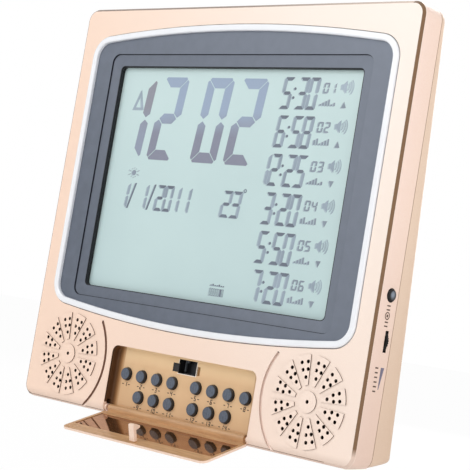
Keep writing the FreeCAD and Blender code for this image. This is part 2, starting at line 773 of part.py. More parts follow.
def _on_low_corner(edge):
    """Picks the edges where the round lower corners meet the rising underside."""
    rise = s.rear_rise.value / (underside_end - s.parting_depth).value
    for vertex in edge.Vertexes:
        if abs(vertex.Point.z - (vertex.Point.y - s.parting_depth.value) * rise) > 1e-3:
            return False
    box = edge.BoundBox
    reach = (half_width - s.case_corner).value
    return min(abs(box.XMin), abs(box.XMax)) > reach and box.YLength > s.wall.value


def add_bay_and_bosses(body):
    """Screw bosses and the walls and floor of the battery bay, as long as the case is deep."""
    bosses = on_face(body, s.boss_depth + s.boss_gap)
    for x, z in case_boss_places():
        bosses.circle(x, z, s.rear_boss_radius)
    add(body, bosses, s.depth_bottom - s.boss_depth)
    edge = s.bay_wall
    left, right = bay_sides()
    walls = on_face(body, s.bay_floor)
    walls.box(left - edge, right + edge, s.bay_low - edge, bay_top() + edge)
    walls.box(left, right, s.bay_low, bay_top())
    add(body, walls, s.depth_bottom - s.bay_floor)
    floor = on_face(body, s.bay_floor - edge)
    floor.box(left - edge, right + edge, s.bay_low - edge, bay_top() + edge)
    add(body, floor, edge)


def battery_door_frame(gap=0):
    """Half-width, low and high of the battery door's seat, less a gap all round."""
    reach = s.battery_door_lip - gap
    return s.bay_half_width + reach, s.bay_low - reach, bay_top() + reach


def cut_bay(body):
    """Opens the bay through the back and sinks a seat for the battery door round it."""
    left, right = bay_sides()
    cut(body, on_face(body, s.bay_floor + s.bay_wall).box(left, right, s.bay_low, bay_top()))
    half, low, high = battery_door_frame()
    seat = on_side(body, bay_centre).polygon(
        (back_at(low) - s.battery_door_step, low), (s.depth_bottom * 2, low),
        (s.depth_bottom * 2, high), (back_at(high) - s.battery_door_step, high))
    cut(body, seat, half * 2, both=True)


def cut_keyholes(body):
    """Two keyholes: a round hole for the screw's head with a slot above it."""
    for side in sides():
        x = side * s.hang_spacing / 2
        cut(body, on_face(body, s.parting_depth).circle(x, s.hang_height, s.keyhole_radius))
        slot = s.keyhole_slot_width / 2
        cut(body, on_face(body, s.parting_depth).rounded(
            x - slot, x + slot, s.hang_height, s.hang_height + s.keyhole_rise + slot, slot * 0.98))


# ---------------------------------------------------------------- display

def trim_ring():
    body = new_body("trim_ring")
    outline = on_face(body, s.ring_seat - s.ring_height)
    outline.bowed(ring_half_width, s.ring_low, s.ring_high, s.ring_bow, s.ring_corner)
    outline.bowed(**ring_inner)
    add(body, outline, s.ring_height)
    round_edges(body, s.ring_round, lies_at(s.ring_seat - s.ring_height))
    return settle(body)


def display_bezel():
    """Dark frame round the window, with a flange behind the case and a slope down to the glass."""
    body = new_body("display_bezel")
    flange_front = s.wall + s.part_line_gap
    add(body, on_face(body, s.bezel_face).bowed(**ring_inner), s.bezel_plate)
    add(body, on_face(body, flange_front).bowed(**grown(ring_inner, s.bezel_flange)), s.bezel_flange_depth)
    posts = on_face(body, flange_front)
    for x, z in board_post_places():
        posts.circle(x, z, s.board_post_radius)
    add(body, posts, s.display_board_depth - flange_front)
    cut(body, on_face(body, s.bezel_face).rounded(
        -step_half_width, step_half_width, s.step_low, s.step_high, s.step_corner), s.step_depth)
    near = on_face(body, s.bezel_face + s.step_depth).rounded(
        -step_half_width, step_half_width, s.step_low, s.step_high, s.step_corner)
    far = on_face(body, s.window_edge_depth).rounded(
        -window_half_width, window_half_width, s.window_low, s.window_high, s.window_corner)
    near.done()
    far.done()
    loft = body.newObject("PartDesign::SubtractiveLoft", "window_slope")
    loft.Profile = near.sketch
    loft.Sections = [far.sketch]
    loft.Ruled = True
    doc.recompute()
    cut(body, on_face(body, s.bezel_face).rounded(
        -window_half_width, window_half_width, s.window_low, s.window_high, s.window_corner))
    bores = on_face(body, s.display_board_depth - s.bezel_flange * 2)
    for x, z in board_post_places():
        bores.circle(x, z, s.small_screw_bore)
    cut(body, bores)
    return settle(body)


def window_frame(label, front, back, inner_margin, outer_margin):
    """A rectangular frame or plate that follows the window."""
    body = new_body(label)
    outline = on_face(body, front)
    out = outer_margin
    outline.rounded(-window_half_width - out, window_half_width + out,
                    s.window_low - out, s.window_high + out, s.window_corner)
    if inner_margin is not None:
        outline.rounded(-window_half_width - inner_margin, window_half_width + inner_margin,
                        s.window_low - inner_margin, s.window_high + inner_margin, s.window_corner)
    add(body, outline, back - front)
    return settle(body)


def lcd_gasket():
    front = s.wall + s.part_line_gap + s.bezel_flange_depth
    return window_frame("lcd_gasket", front, s.glass_face, size(0), s.gasket_width)


def lcd_glass():
    """The liquid crystal cell: two sheets of glass as one plate, longer at the bottom and the top."""
    body = new_body("lcd_glass")
    across = window_half_width + s.glass_margin
    up = s.glass_margin + s.glass_ledge
    add(body, on_face(body, s.glass_face).box(
        -across, across, s.window_low - up, s.window_high + up), s.glass_thick)
    return settle(body)


def light_guide():
    front = window_back + s.guide_gap
    return window_frame("light_guide", front, front + s.guide_thick, None, s.glass_margin / 2)


def elastomer_strips():
    """Rubber strips that join the glass to the display board, above and below the light guide."""
    across = window_half_width - s.strip_inset
    pieces = []
    for name, low in (("low", s.window_low - s.glass_margin - s.glass_ledge),
                      ("high", s.window_high + s.glass_margin + s.glass_ledge - s.strip_height)):
        pieces.append(block("strip_" + name, -across, across, window_back, s.display_board_depth,
                            low, low + s.strip_height))
    return group("elastomer_strips", *pieces)


def display_board():
    body = new_body("display_board")
    across = window_half_width + s.glass_margin + s.board_post_inset + s.board_margin
    up = s.glass_margin + s.glass_ledge + s.board_margin
    add(body, on_face(body, s.display_board_depth).box(
        -across, across, s.window_low - up, s.window_high + up), s.board_thick)
    holes = on_face(body, s.display_board_depth)
    for x, z in board_post_places():
        holes.circle(x, z, s.small_screw_bore + s.head_well_gap)
    cut(body, holes)
    return settle(body)


def small_screws(label, places, seat, length, head_radius=None, head=None):
    """Small screws whose heads lie on one depth."""
    head_radius = head_radius or s.speaker_screw_head
    head = head or s.small_screw_head
    return group(label, *[
        screw(f"{label}_{i}", x, z, seat, length, s.small_screw_radius, head_radius, head)
        for i, (x, z) in enumerate(places)])


def display_screws():
    seat = s.display_board_depth + s.board_thick
    return small_screws("display_screws", board_post_places(), seat, s.bezel_flange + s.board_thick)


def controller_chip():
    """The clock's controller, bonded to the board under a drop of epoxy."""
    seat = s.display_board_depth + s.board_thick
    middle = (s.window_low + s.window_high) / 2
    drop = rod("controller_drop", 0, seat, middle, s.controller_radius, s.controller_height,
               tip_radius=s.controller_radius / 2)
    return named(drop, "controller_chip")


def capacitors():
    seat = s.display_board_depth + s.board_thick
    height = (s.window_low + s.window_high) / 2 - s.controller_radius * 3
    return group("capacitors", *[
        rod(f"capacitor_{i}", i * s.capacitor_pitch, seat, height, s.capacitor_radius,
            s.capacitor_length) for i in (-1, 0, 1)])


# ---------------------------------------------------------------- control panel

def control_tray():
    """The sunk panel behind the door: walls, floor with key holes, and the latch's hole."""
    body = new_body("control_tray")
    edge = s.tray_wall
    low = s.wall + s.tray_gap
    across = panel_half_width
    front = s.wall + s.part_line_gap
    flange = on_face(body, s.panel_floor).box(-across - s.tray_flange, across + s.tray_flange,
                                              low + edge, s.panel_top + edge)
    add(body, flange, edge)
    add(body, on_face(body, front).rounded(
        -across - edge, across + edge, low, s.panel_top + edge, s.panel_corner), tray_back - front)
    posts = on_face(body, s.panel_floor)
    for x, z in key_board_post_places():
        posts.circle(x, z, s.speaker_post_radius)
    add(body, posts, key_board_front - s.panel_floor)
    hollow = on_face(body, front).rounded(-across, across, -s.panel_top, s.panel_top, s.panel_corner)
    cut(body, hollow, s.panel_floor - front)
    on_floor = lies_at(s.panel_floor)
    reach, top, near_hinge = [size(v).value for v in (across, s.panel_top, s.panel_corner * 3)]

    def on_cove(edge_):
        box = edge_.BoundBox
        inside = max(-box.XMin, box.XMax) < reach + 1e-3 and box.ZMax < top + 1e-3
        return on_floor(edge_) and inside and box.ZMax > near_hinge
    round_edges(body, s.tray_cove, on_cove)
    notch = s.pin_depth + s.lug_radius + s.barrel_clearance
    for side in sides():
        inner, outer = across - s.tray_flange / 2, across + s.tray_flange
        left, right = (inner, outer) if side > 0 else (-outer, -inner)
        cut(body, on_face(body, front).box(left, right, 0, low + s.lug_radius * 2), notch - front)
    holes = on_face(body, s.panel_floor)
    for name, x, z in key_places():
        holes.circle(x, z, s.key_radius + s.key_hole_gap)
    cut(body, holes)
    cut_latch_hole(body)
    holes = on_face(body, s.panel_floor)
    for x, z in tray_post_places():
        holes.circle(x, z, s.small_screw_bore)
    cut(body, holes)
    bores = on_face(body, s.panel_floor + s.tray_wall / 2)
    for x, z in key_board_post_places():
        bores.circle(x, z, s.small_screw_bore)
    cut(body, bores)
    return settle(body)


def cut_latch_hole(body):
    """The square hole that takes the door's hook, with a shallow notch on each side."""
    cut(body, on_face(body, s.panel_floor).box(
        -s.latch_half_width, s.latch_half_width, s.latch_low, s.latch_high))
    low = s.latch_low + s.latch_notch_rise
    high = low + s.latch_notch_height
    cut(body, on_face(body, s.panel_floor).box(
        -s.latch_half_width - s.latch_notch_left, -s.latch_half_width + s.tray_gap, low, high),
        s.latch_notch_depth)
    cut(body, on_face(body, s.panel_floor).box(
        s.latch_half_width - s.tray_gap, s.latch_half_width + s.latch_notch_right, low, high),
        s.latch_notch_depth)


def key_board_post_places():
    """Screw posts between the tray and the key board, outside the rows of keys."""
    across = key_board_half_width - s.key_board_post_inset
    return [(side * across, height) for side in sides()
            for height in (s.lower_row, s.latch_high - s.latch_notch_height)]


def tray_screws():
    return small_screws("tray_screws", tray_post_places(), tray_back, s.tray_flange / 2)


def latch_catch():
    """Black spring catch behind the latch's hole: a cup with a tongue that the hook snaps over."""
    body = new_body("latch_catch")
    edge = s.catch_wall
    grow = s.latch_notch_left / 2
    left, right = -s.latch_half_width - grow, s.latch_half_width + grow
    low, high = s.latch_low - edge, s.latch_high + edge
    add(body, on_face(body, tray_back).box(left, right, low, high), s.catch_depth)
    cut(body, on_face(body, tray_back).box(
        -s.latch_half_width, s.latch_half_width, s.latch_low, s.latch_high), s.catch_depth - s.catch_back)
    tongue = on_face(body, tray_back).box(-s.hook_half_width * 2, s.hook_half_width * 2,
                                          s.latch_low - edge / 2, s.latch_low + s.catch_tongue)
    add(body, tongue, edge)
    return settle(body)


def key(name, x, z):
    """A rubber key: round stem with a soft front edge and a flange that keeps it behind the tray."""
    body = new_body(name)
    add(body, on_face(body, s.key_face).circle(0, 0, s.key_radius), key_back - s.key_face)
    round_edges(body, s.key_round, lies_at(s.key_face))
    add(body, on_face(body, key_back - s.key_flange_thick).circle(
        0, 0, s.key_radius + s.key_flange), s.key_flange_thick)
    return settle(body, x, 0, z)


def key_mat():
    """The silicone sheet that carries the keys, against the key board."""
    body = new_body("key_mat")
    across = key_board_half_width - s.key_mat_inset
    low, high = s.wall + s.tray_gap * 2, s.latch_low - s.catch_wall * 2
    add(body, on_face(body, mat_front).box(-across, across, low, high), s.mat_thick)
    holes = on_face(body, mat_front)
    for name, x, z in key_places():
        holes.circle(x, z, s.key_radius + s.key_flange + s.mat_gap)
    cut(body, holes)
    return settle(body)


def key_board():
    body = new_body("key_board")
    across = key_board_half_width
    low, high = s.wall + s.tray_gap * 2, s.latch_high
    hole = s.latch_half_width + s.latch_notch_left / 2 + s.catch_wall
    add(body, on_face(body, key_board_front).polygon(
        (-across, low), (across, low), (across, high), (hole, high),
        (hole, s.latch_low - s.catch_wall * 2), (-hole, s.latch_low - s.catch_wall * 2),
        (-hole, high), (-across, high)), s.key_board_thick)
    holes = on_face(body, key_board_front)
    for x, z in key_board_post_places():
        holes.circle(x, z, s.small_screw_bore + s.head_well_gap / 2)
    cut(body, holes)
    return settle(body)


def key_board_screws():
    seat = key_board_front + s.key_board_thick
    return small_screws("key_board_screws", key_board_post_places(), seat, s.key_board_thick * 2,
                        s.speaker_post_radius, s.flat_screw_head)


# ---------------------------------------------------------------- door

def panel_door():
    """Door of the control panel, drawn shut about its hinge axis and placed open."""
    body = new_body("panel_door")
    across = panel_half_width - s.door_gap
    low, high = -s.pin_height, s.panel_top - s.door_gap - s.pin_height
    front = -s.pin_depth
    outline = on_face(body, front).rounded(-across, across, low, high, s.door_corner)
    add(body, outline, s.door_thick)
    half = panel_half_width - s.barrel_inset
    cut(body, on_face(body, front).box(-across, -half, low, s.barrel_radius + s.barrel_clearance))
    cut(body, on_face(body, front).box(half, across, low, s.barrel_radius + s.barrel_clearance))
    add(body, on_side(body).circle(0, 0, s.barrel_radius), half * 2, both=True)
    fill = on_side(body).box(front, 0, -s.pin_height, s.barrel_radius)
    add(body, fill, half * 2, both=True)
    gloss = on_face(body, front + s.door_thick - s.door_gloss_depth).rounded(
        s.door_gloss_inset - panel_half_width, panel_half_width - s.door_gloss_inset,
        s.door_gloss_low - s.pin_height, s.door_gloss_high - s.pin_height, s.door_gloss_corner)
    cut(body, gloss, s.door_gloss_depth)
    add_hook(body, front + s.door_thick)
    bore = on_side(body).circle(0, 0, s.pin_radius + s.pin_gap)
    cut(body, bore, both=True)
    settle(body, 0, s.pin_depth, s.pin_height)
    body.Placement.Rotation = FreeCAD.Rotation(FreeCAD.Vector(1, 0, 0), 1)
    bind(body, "Placement.Rotation.Angle", s.door_open_angle)
    return body


def add_hook(body, root_depth):
    """A flat post with a head that points at the hinge."""
    low, high = s.hook_low - s.pin_height, s.hook_high - s.pin_height
    tip = root_depth + s.hook_length
    neck = tip - s.hook_head_thick
    start = root_depth - s.door_thick / 2
    hook = on_side(body).polygon(
        (start, low), (neck, low), (neck + s.hook_head / 4, low - s.hook_head),
        (tip - s.hook_head / 2, low - s.hook_head), (tip, low), (tip, high), (start, high))
    add(body, hook, s.hook_half_width * 2, both=True)
    beyond = neck.value

    def head_edges(edge):
        box = edge.BoundBox
        return box.YMin > beyond + 1e-3 and box.XLength > s.hook_half_width.value
    round_edges(body, s.hook_round, head_edges)


def door_pins():
    """Steel pins pressed into the case, on which the door turns."""
    pieces = []
    for name, side in (("left", -1), ("right", 1)):
        seat = panel_half_width + s.pin_seat
        start = seat - s.pin_length if side > 0 else -seat
        pieces.append(rod("pin_" + name, start, s.pin_depth, s.pin_height, s.pin_radius, s.pin_length,
                          along="x"))
    return group("door_pins", *pieces)


# ---------------------------------------------------------------- right-hand controls

def stop_button():
    """Round button with a domed end, kept in by a flange inside the wall."""
    body = new_body("stop_button")
    tip = half_width + s.stop_proud
    add(body, on_side(body, stop_inner).circle(0, 0, s.stop_radius), tip - stop_inner,
        backwards=False)
    tip_x = tip.value

    def on_tip(edge):
        box = edge.BoundBox
        return abs(box.XMin - tip_x) < 1e-4 and abs(box.XMax - tip_x) < 1e-4
    round_edges(body, s.stop_dome, on_tip)
    flange = half_width - s.wall - s.stop_flange_gap - s.stop_flange_thick
    add(body, on_side(body, flange).circle(0, 0, s.stop_radius + s.stop_flange), s.stop_flange_thick,
        backwards=False)
    return settle(body, 0, s.side_depth, stop_height)


def stop_switch():
    """The small push switch that the stop button presses."""
    right = stop_inner - s.stop_travel - s.plunger_gap - s.plunger_radius
    half = s.switch_size / 2
    case = block("switch_case", right - s.switch_thick, right, s.side_depth - half,
                 s.side_board_depth, stop_height - half, stop_height + half)
    plunger = rod("switch_plunger", right - s.plunger_radius, s.side_depth, stop_height,
                  s.plunger_radius, s.plunger_radius * 2, along="x")
    return named(join("switch", case, plunger), "stop_switch")


def side_board():
    body = new_body("side_board")
    add(body, on_face(body, s.side_board_depth).box(
        half_width - s.side_board_inner, half_width - s.side_board_outer,
        s.wheel_height - s.side_board_below, stop_height + s.side_board_above), s.key_board_thick)
    holes = on_face(body, s.side_board_depth)
    for x, z in side_post_places():
        holes.circle(x, z, s.small_screw_bore + s.head_well_gap / 2)
    cut(body, holes)
    return settle(body)


def side_board_screws():
    seat = s.side_board_depth + s.key_board_thick
    return small_screws("side_board_screws", side_post_places(), seat, s.tray_flange / 2,
                        s.side_post_radius)


wheel_x = half_width + s.wheel_proud - s.wheel_radius


def volume_wheel():
    """Thumbwheel with a notched rim, on the shaft of the volume control."""
    body = new_body("volume_wheel")
    half = s.wheel_thick / 2
    add(body, on_face(body, -half).circle(0, 0, s.wheel_radius), s.wheel_thick)
    notch = on_face(body, -half).circle(0, s.wheel_radius, s.wheel_notch_radius)
    first = cut(body, notch)
    ring_pattern(body, first, notch, s.wheel_notches)
    cut(body, on_face(body, -half).circle(0, 0, s.wheel_shaft_radius + s.wheel_shaft_gap))
    return settle(body, wheel_x, s.wheel_depth, s.wheel_height)


def volume_control():
    """The variable resistor under the wheel: a round case on the side board, and its shaft."""
    front = s.wheel_depth + s.wheel_thick / 2 + s.pot_gap
    case = rod("pot_case", wheel_x, front, s.wheel_height, s.pot_radius, s.side_board_depth - front)
    shaft_start = s.wheel_depth - s.wheel_thick / 2
    shaft = rod("pot_shaft", wheel_x, shaft_start, s.wheel_height, s.wheel_shaft_radius,
                front - shaft_start)
    return named(join("pot", case, shaft), "volume_control")


# ---------------------------------------------------------------- speakers

def turned(body, *profile):
    """Revolves a closed profile of (radius, depth) points about the Y axis."""
    outline = Outline(body, "XY_Plane")
    outline.polygon(*profile)
    outline.done()
    turn = body.newObject("PartDesign::Revolution", body.Label + "_turned")
    turn.Profile = outline.sketch
    turn.ReferenceAxis = (outline.sketch, ["V_Axis"])
    turn.Angle = 360
    doc.recompute()
    return body


def speaker(name, side):
    """Frame, cone and magnet of one speaker, as three sub-parts on one axis."""
    x, z = side * grille_offset, s.grille_height
    front = s.wall + s.speaker_gap
    back = front + s.basket_depth
    thick, rim = s.sheet_metal, s.speaker_radius
    slope_in = s.speaker_radius - s.speaker_rim * 3
    frame = new_body("speaker_frame_" + name)
    turned(frame, (slope_in, front), (rim, front), (rim, front + s.speaker_rim),
           (slope_in + thick, front + s.speaker_rim), (s.basket_radius + thick, back),
           (s.cone_throat, back), (s.cone_throat, back - thick), (s.basket_radius, back - thick))
    settle(frame, x, 0, z)
    cone = new_body("speaker_cone_" + name)
    lip = front + s.speaker_rim * 2
    inner = s.cone_throat - thick
    turned(cone, (inner, lip + s.cone_depth), (slope_in - thick * 3, lip),
           (slope_in - thick * 3, lip + thick), (inner + thick, lip + s.cone_depth + thick),
           (inner + thick, back - thick), (inner, back - thick))
    settle(cone, x, 0, z)
    magnet = new_body("speaker_magnet_" + name)
    pole = s.cone_throat - thick * 2
    turned(magnet, (0, back - thick * 2), (pole, back - thick * 2), (pole, back), (s.magnet_radius, back),
           (s.magnet_radius, back + s.magnet_depth), (0, back + s.magnet_depth))
    settle(magnet, x, 0, z)
    return [frame, cone, magnet]


def speaker_screws():
    seat = s.wall + s.speaker_gap + s.speaker_rim
    return small_screws("speaker_screws", speaker_post_places(), seat, s.speaker_gap + s.speaker_rim)


# ---------------------------------------------------------------- back

def case_screws():
    seat = s.boss_depth + s.boss_gap + s.boss_web
    length = s.boss_web + s.boss_gap + s.boss_depth - s.boss_web - s.wall - s.boss_gap
    return group("case_screws", *[
        screw(f"case_screw_{i}", x, z, seat, length, s.screw_radius, s.screw_head_radius, s.screw_head)
        for i, (x, z) in enumerate(case_boss_places())])


def battery_door():
    """Cover of the battery bay, flush with the sloping back, drawn about its lower edge."""
    body = new_body("battery_door")
    half, low, high = battery_door_frame(s.battery_door_gap)
    near, far = back_at(low), back_at(high)
    add(body, on_side(body).polygon(
        (near - s.battery_door_thick, low), (near, low), (far, high), (far - s.battery_door_thick, high)),
        half * 2, both=True)
    grip_low = high - s.battery_door_lip * 3
    for step in range(3):
        z = grip_low - step * s.battery_door_lip * 1.5
        groove = on_face(body, back_at(z) - s.battery_door_tongue / 2).box(
            -s.door_tab_width, s.door_tab_width, z, z + s.battery_door_lip / 2)
        cut(body, groove)
    return settle(body, bay_centre)


def cell_centre(index):
    pitch = 2 * s.cell_radius + s.cell_gap
    return s.bay_low + pitch * (index + 0.5)


cell_depth = s.bay_floor + s.cell_gap / 2 + s.cell_radius


def battery_cells():
    """Three cells side by side, their buttons to alternate ends."""
    pieces = []
    for i in range(int(s.cell_count.value)):
        way = 1 if i % 2 else -1
        half = s.cell_length / 2
        can = rod(f"cell_{i}", bay_centre - half - s.cell_nub / 2 * way, cell_depth, cell_centre(i),
                  s.cell_radius, s.cell_length, along="x")
        nub_x = half - s.cell_nub / 2 if way > 0 else -half + s.cell_nub / 2 - s.cell_nub
        nub = rod(f"cell_nub_{i}", bay_centre + nub_x, cell_depth, cell_centre(i),
                  s.cell_nub_radius, s.cell_nub, along="x")
        pieces.append(join(f"cell_whole_{i}", can, nub))
    return group("battery_cells", *pieces)


def battery_contacts():
    """A plate at each end of each cell, with a bump that reaches the cell."""
    pieces = []
    reach = s.bay_half_width - s.contact_thick
    gap = reach - s.cell_length / 2 - s.cell_nub / 2
    for i in range(int(s.cell_count.value)):
        for side in sides():
            name = f"contact_{i}_{'left' if side < 0 else 'right'}"
            x = bay_centre + side * s.bay_half_width - (s.contact_thick if side > 0 else 0)
            half = s.contact_width / 2
            plate = block(name + "_plate", x, x + s.contact_thick, cell_depth - half, cell_depth + half,
                          cell_centre(i) - half, cell_centre(i) + half)
            start = bay_centre + (reach - gap if side > 0 else -reach)
            bump = rod(name + "_bump", start, cell_depth, cell_centre(i), s.contact_bump, gap, along="x")
            pieces.append(join(name, plate, bump))
    return group("battery_contacts", *pieces)


# ---------------------------------------------------------------- build and export

def build():
    parts = [front_case(), rear_case(), trim_ring(), display_bezel(), lcd_gasket(), lcd_glass(),
             light_guide(), elastomer_strips(), display_board(), display_screws(), controller_chip(),
             capacitors(), control_tray(), tray_screws(), latch_catch(), key_mat(), key_board(),
             key_board_screws(), panel_door(), door_pins(), stop_button(), stop_switch(), side_board(),
             side_board_screws(), volume_wheel(), volume_control(), speaker_screws(), case_screws(),
             battery_door(), battery_cells(), battery_contacts()]
    parts += [key(*place) for place in key_places()]
    for name, side in (("left", -1), ("right", 1)):
        parts += speaker(name, side)
    return parts


def check(parts):
    """Stops on any failed object, and on a sub-part without a valid solid."""
    for item in doc.Objects:
        if "Invalid" in item.State or "Error" in item.State:
            raise RuntimeError(f"{item.Label}: {item.State}")
    for part in parts:
        shape = part.Shape
        if shape.isNull() or not shape.isValid() or not shape.Solids:
            raise RuntimeError(f"{part.Label}: no valid solid")


def export(parts):
    os.makedirs("parts", exist_ok=True)
    for part in parts:
        part.Shape.exportStep(os.path.join("parts", part.Label + ".step"))
        print(f"{part.Label}: {len(part.Shape.Solids)} solid, {part.Shape.Volume:.1f} mm3")


parts = build()
doc.recompute()
check(parts)
export(parts)
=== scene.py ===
"""Looks of a prayer-time clock for the wall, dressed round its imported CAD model.

Places are written in millimetres in the clock frame: x to the right, y from the front face to the back,
z up from the lower edge. The helper "at" turns them into the row frame, in metres.
"""
import math

import bmesh
import bpy
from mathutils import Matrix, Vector


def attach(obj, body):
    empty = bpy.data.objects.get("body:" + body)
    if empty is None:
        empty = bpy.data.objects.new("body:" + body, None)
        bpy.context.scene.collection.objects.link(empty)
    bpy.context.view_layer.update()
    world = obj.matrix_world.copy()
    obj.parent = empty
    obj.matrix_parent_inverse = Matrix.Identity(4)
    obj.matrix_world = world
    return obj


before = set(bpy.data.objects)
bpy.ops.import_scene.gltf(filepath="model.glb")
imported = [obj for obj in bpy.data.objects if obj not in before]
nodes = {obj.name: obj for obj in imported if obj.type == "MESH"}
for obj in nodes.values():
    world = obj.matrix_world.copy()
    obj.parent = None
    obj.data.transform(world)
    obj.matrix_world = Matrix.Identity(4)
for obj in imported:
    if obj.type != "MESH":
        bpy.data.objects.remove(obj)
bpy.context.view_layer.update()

# ---------------------------------------------------------------- places, in millimetres

MM = 0.001

# The case. The back slopes, and the row frame starts on it, between the keyholes.
CASE_HEIGHT = 223
FRONT_DROP = 1.4
DEPTH_TOP, DEPTH_BOTTOM = 19.145, 31.4
HANG_Z = 208
HANG_Y = DEPTH_BOTTOM - (DEPTH_BOTTOM - DEPTH_TOP) / CASE_HEIGHT * HANG_Z
HALF_WIDTH = 117.5
HALF_HEIGHT = (CASE_HEIGHT + FRONT_DROP) / 2
MIDDLE_Z = CASE_HEIGHT - HALF_HEIGHT
CORNER = 7
BEVEL_END_Y = 1.5
PARTING_Y = 15

# The display: its seat in the front face, the step and the inner edge of its bezel, its cell and its window,
# and how far its figures lean to the right as they go up.
SEAT_HALF, SEAT_LOW, SEAT_HIGH = 108, 47, 213.2
STEP_FRONT_Y, STEP_Y = 0.83, 1.6
EDGE_FRONT_Y, EDGE_BACK_Y = 2.72, 3.7
GLASS_Y = 5.6
WINDOW_LOW, WINDOW_TALL = 66, 124
LEAN = 0.1

# The grilles, and the arc of the groove beside each.
GRILLE_X, GRILLE_Z = 85.8, 26.1
GRILLE_RADIUS, HOLES_RADIUS = 24, 21
ARC_X, ARC_INNER, ARC_OUTER = 92.1, 34.8, 36.6

# The control panel: its opening, its tray with the latch's hole and notches, and its keys.
OPENING_HALF, OPENING_LOW, OPENING_HIGH = 51.95, 4.5, 35.8
TRAY_FLOOR_Y = 5.4
TRAY_FLAT_HALF, TRAY_SIDE = 46.5, 5.3
HOLE_HALF, HOLE_LOW, HOLE_HIGH = 6.4, 27.1, 35.4
NOTCH_LOW, NOTCH_HIGH, NOTCH_LEFT, NOTCH_RIGHT = 27.6, 32.2, -10.5, 9.0
KEY_PITCH = 11.416
KEY_MIDDLE = 0.75 * KEY_PITCH
KEY_FACE_Y, KEY_SKIRT = 3.3, 1.2
UPPER_ROW, LOWER_ROW = 21.3, 10.1

# The panel's door, which rests open. Lengths on it and on its glossy inner panel run from the hinge.
HINGE_Y, HINGE_Z = 2.76, 1.9
DOOR_OPEN = math.radians(108.9)
DOOR_THICK, DOOR_CORNER = 1.2, 3.5
DOOR_HALF, DOOR_MIDDLE, DOOR_HALF_LENGTH = 51.3, 15.75, 17.55
PANEL_HALF, PANEL_NEAR, PANEL_END, PANEL_DEEP = 49.28, 5.72, 25.48, 0.3
HOOK_NEAR = 26.5

# The controls in the right wall.
WALL_OUTSIDE = 117.42
STOP_Y, STOP_Z = 9.3, 82.5
STOP_TOP_RADIUS, STOP_HOLE_RADIUS = 2.15, 3.7
SLOT_FRONT, SLOT_BACK, SLOT_LOW, SLOT_HIGH = 8.9, 12.5, 53, 68

# The copper band at one end of the cells in the battery bay.
BAY_X, CELL_HALF, CELL_BAND = -40.5, 25, 14


def at(x, y, z):
    """A point of the clock frame, in the row frame."""
    return Vector((x, y - HANG_Y, z - HANG_Z)) * MM


# ---------------------------------------------------------------- shader maths

class Wire:
    """A socket of a tree on which sums can be written."""

    def __init__(self, tree, socket):
        self.tree = tree
        self.socket = socket

    def other(self, output):
        """Another output of the same node."""
        return Wire(self.tree, self.socket.node.outputs[output])

    def _math(self, operation, *values):
        return self.tree.node("ShaderNodeMath", {"operation": operation}, dict(enumerate(values)))

    def __add__(self, other):
        return self._math("ADD", self, other)

    def __radd__(self, other):
        return self._math("ADD", other, self)

    def __sub__(self, other):
        return self._math("SUBTRACT", self, other)

    def __rsub__(self, other):
        return self._math("SUBTRACT", other, self)

    def __mul__(self, other):
        return self._math("MULTIPLY", self, other)

    def __rmul__(self, other):
        return self._math("MULTIPLY", other, self)

    def __truediv__(self, other):
        return self._math("DIVIDE", self, other)

    def __rtruediv__(self, other):
        return self._math("DIVIDE", other, self)

    def __lt__(self, other):
        return self._math("LESS_THAN", self, other)

    def __gt__(self, other):
        return self._math("GREATER_THAN", self, other)

    def __abs__(self):
        return self._math("ABSOLUTE", self)

    def __or__(self, other):
        """The larger of two: either mask."""
        return self._math("MAXIMUM", self, other)

    __ror__ = __or__


class Tree:
    """The nodes of a material or of the world, and the way to add to them."""

    def __init__(self, owner):
        owner.use_nodes = True
        self.nodes = owner.node_tree.nodes
        self.links = owner.node_tree.links

    def feed(self, socket, value):
        """Links a wire to a socket, or sets a number, a vector or a colour on it."""
        if isinstance(value, Wire):
            self.links.new(value.socket, socket)
        elif socket.type == "RGBA":
            socket.default_value = (*value, 1)
        else:
            socket.default_value = value

    def node(self, kind, settings, sockets, output=0):
        """Adds a node. Its settings come first, then the values or wires of its named or numbered sockets."""
        made = self.nodes.new(kind)
        for name, value in settings.items():
            if name == "stops":
                self._set_stops(made.color_ramp.elements, value)
            else:
                setattr(made, name, value)
        for socket, value in sockets.items():
            self.feed(made.inputs[socket], value)
        return Wire(self, made.outputs[output])

    @staticmethod
    def _set_stops(elements, stops):
        """Gives a ramp as many stops as it needs, and puts each in its place."""
        while len(elements) < len(stops):
            elements.new(1.0)
        for element, (place, colour) in zip(elements, stops):
            element.position = place
            element.color = (*colour, 1)


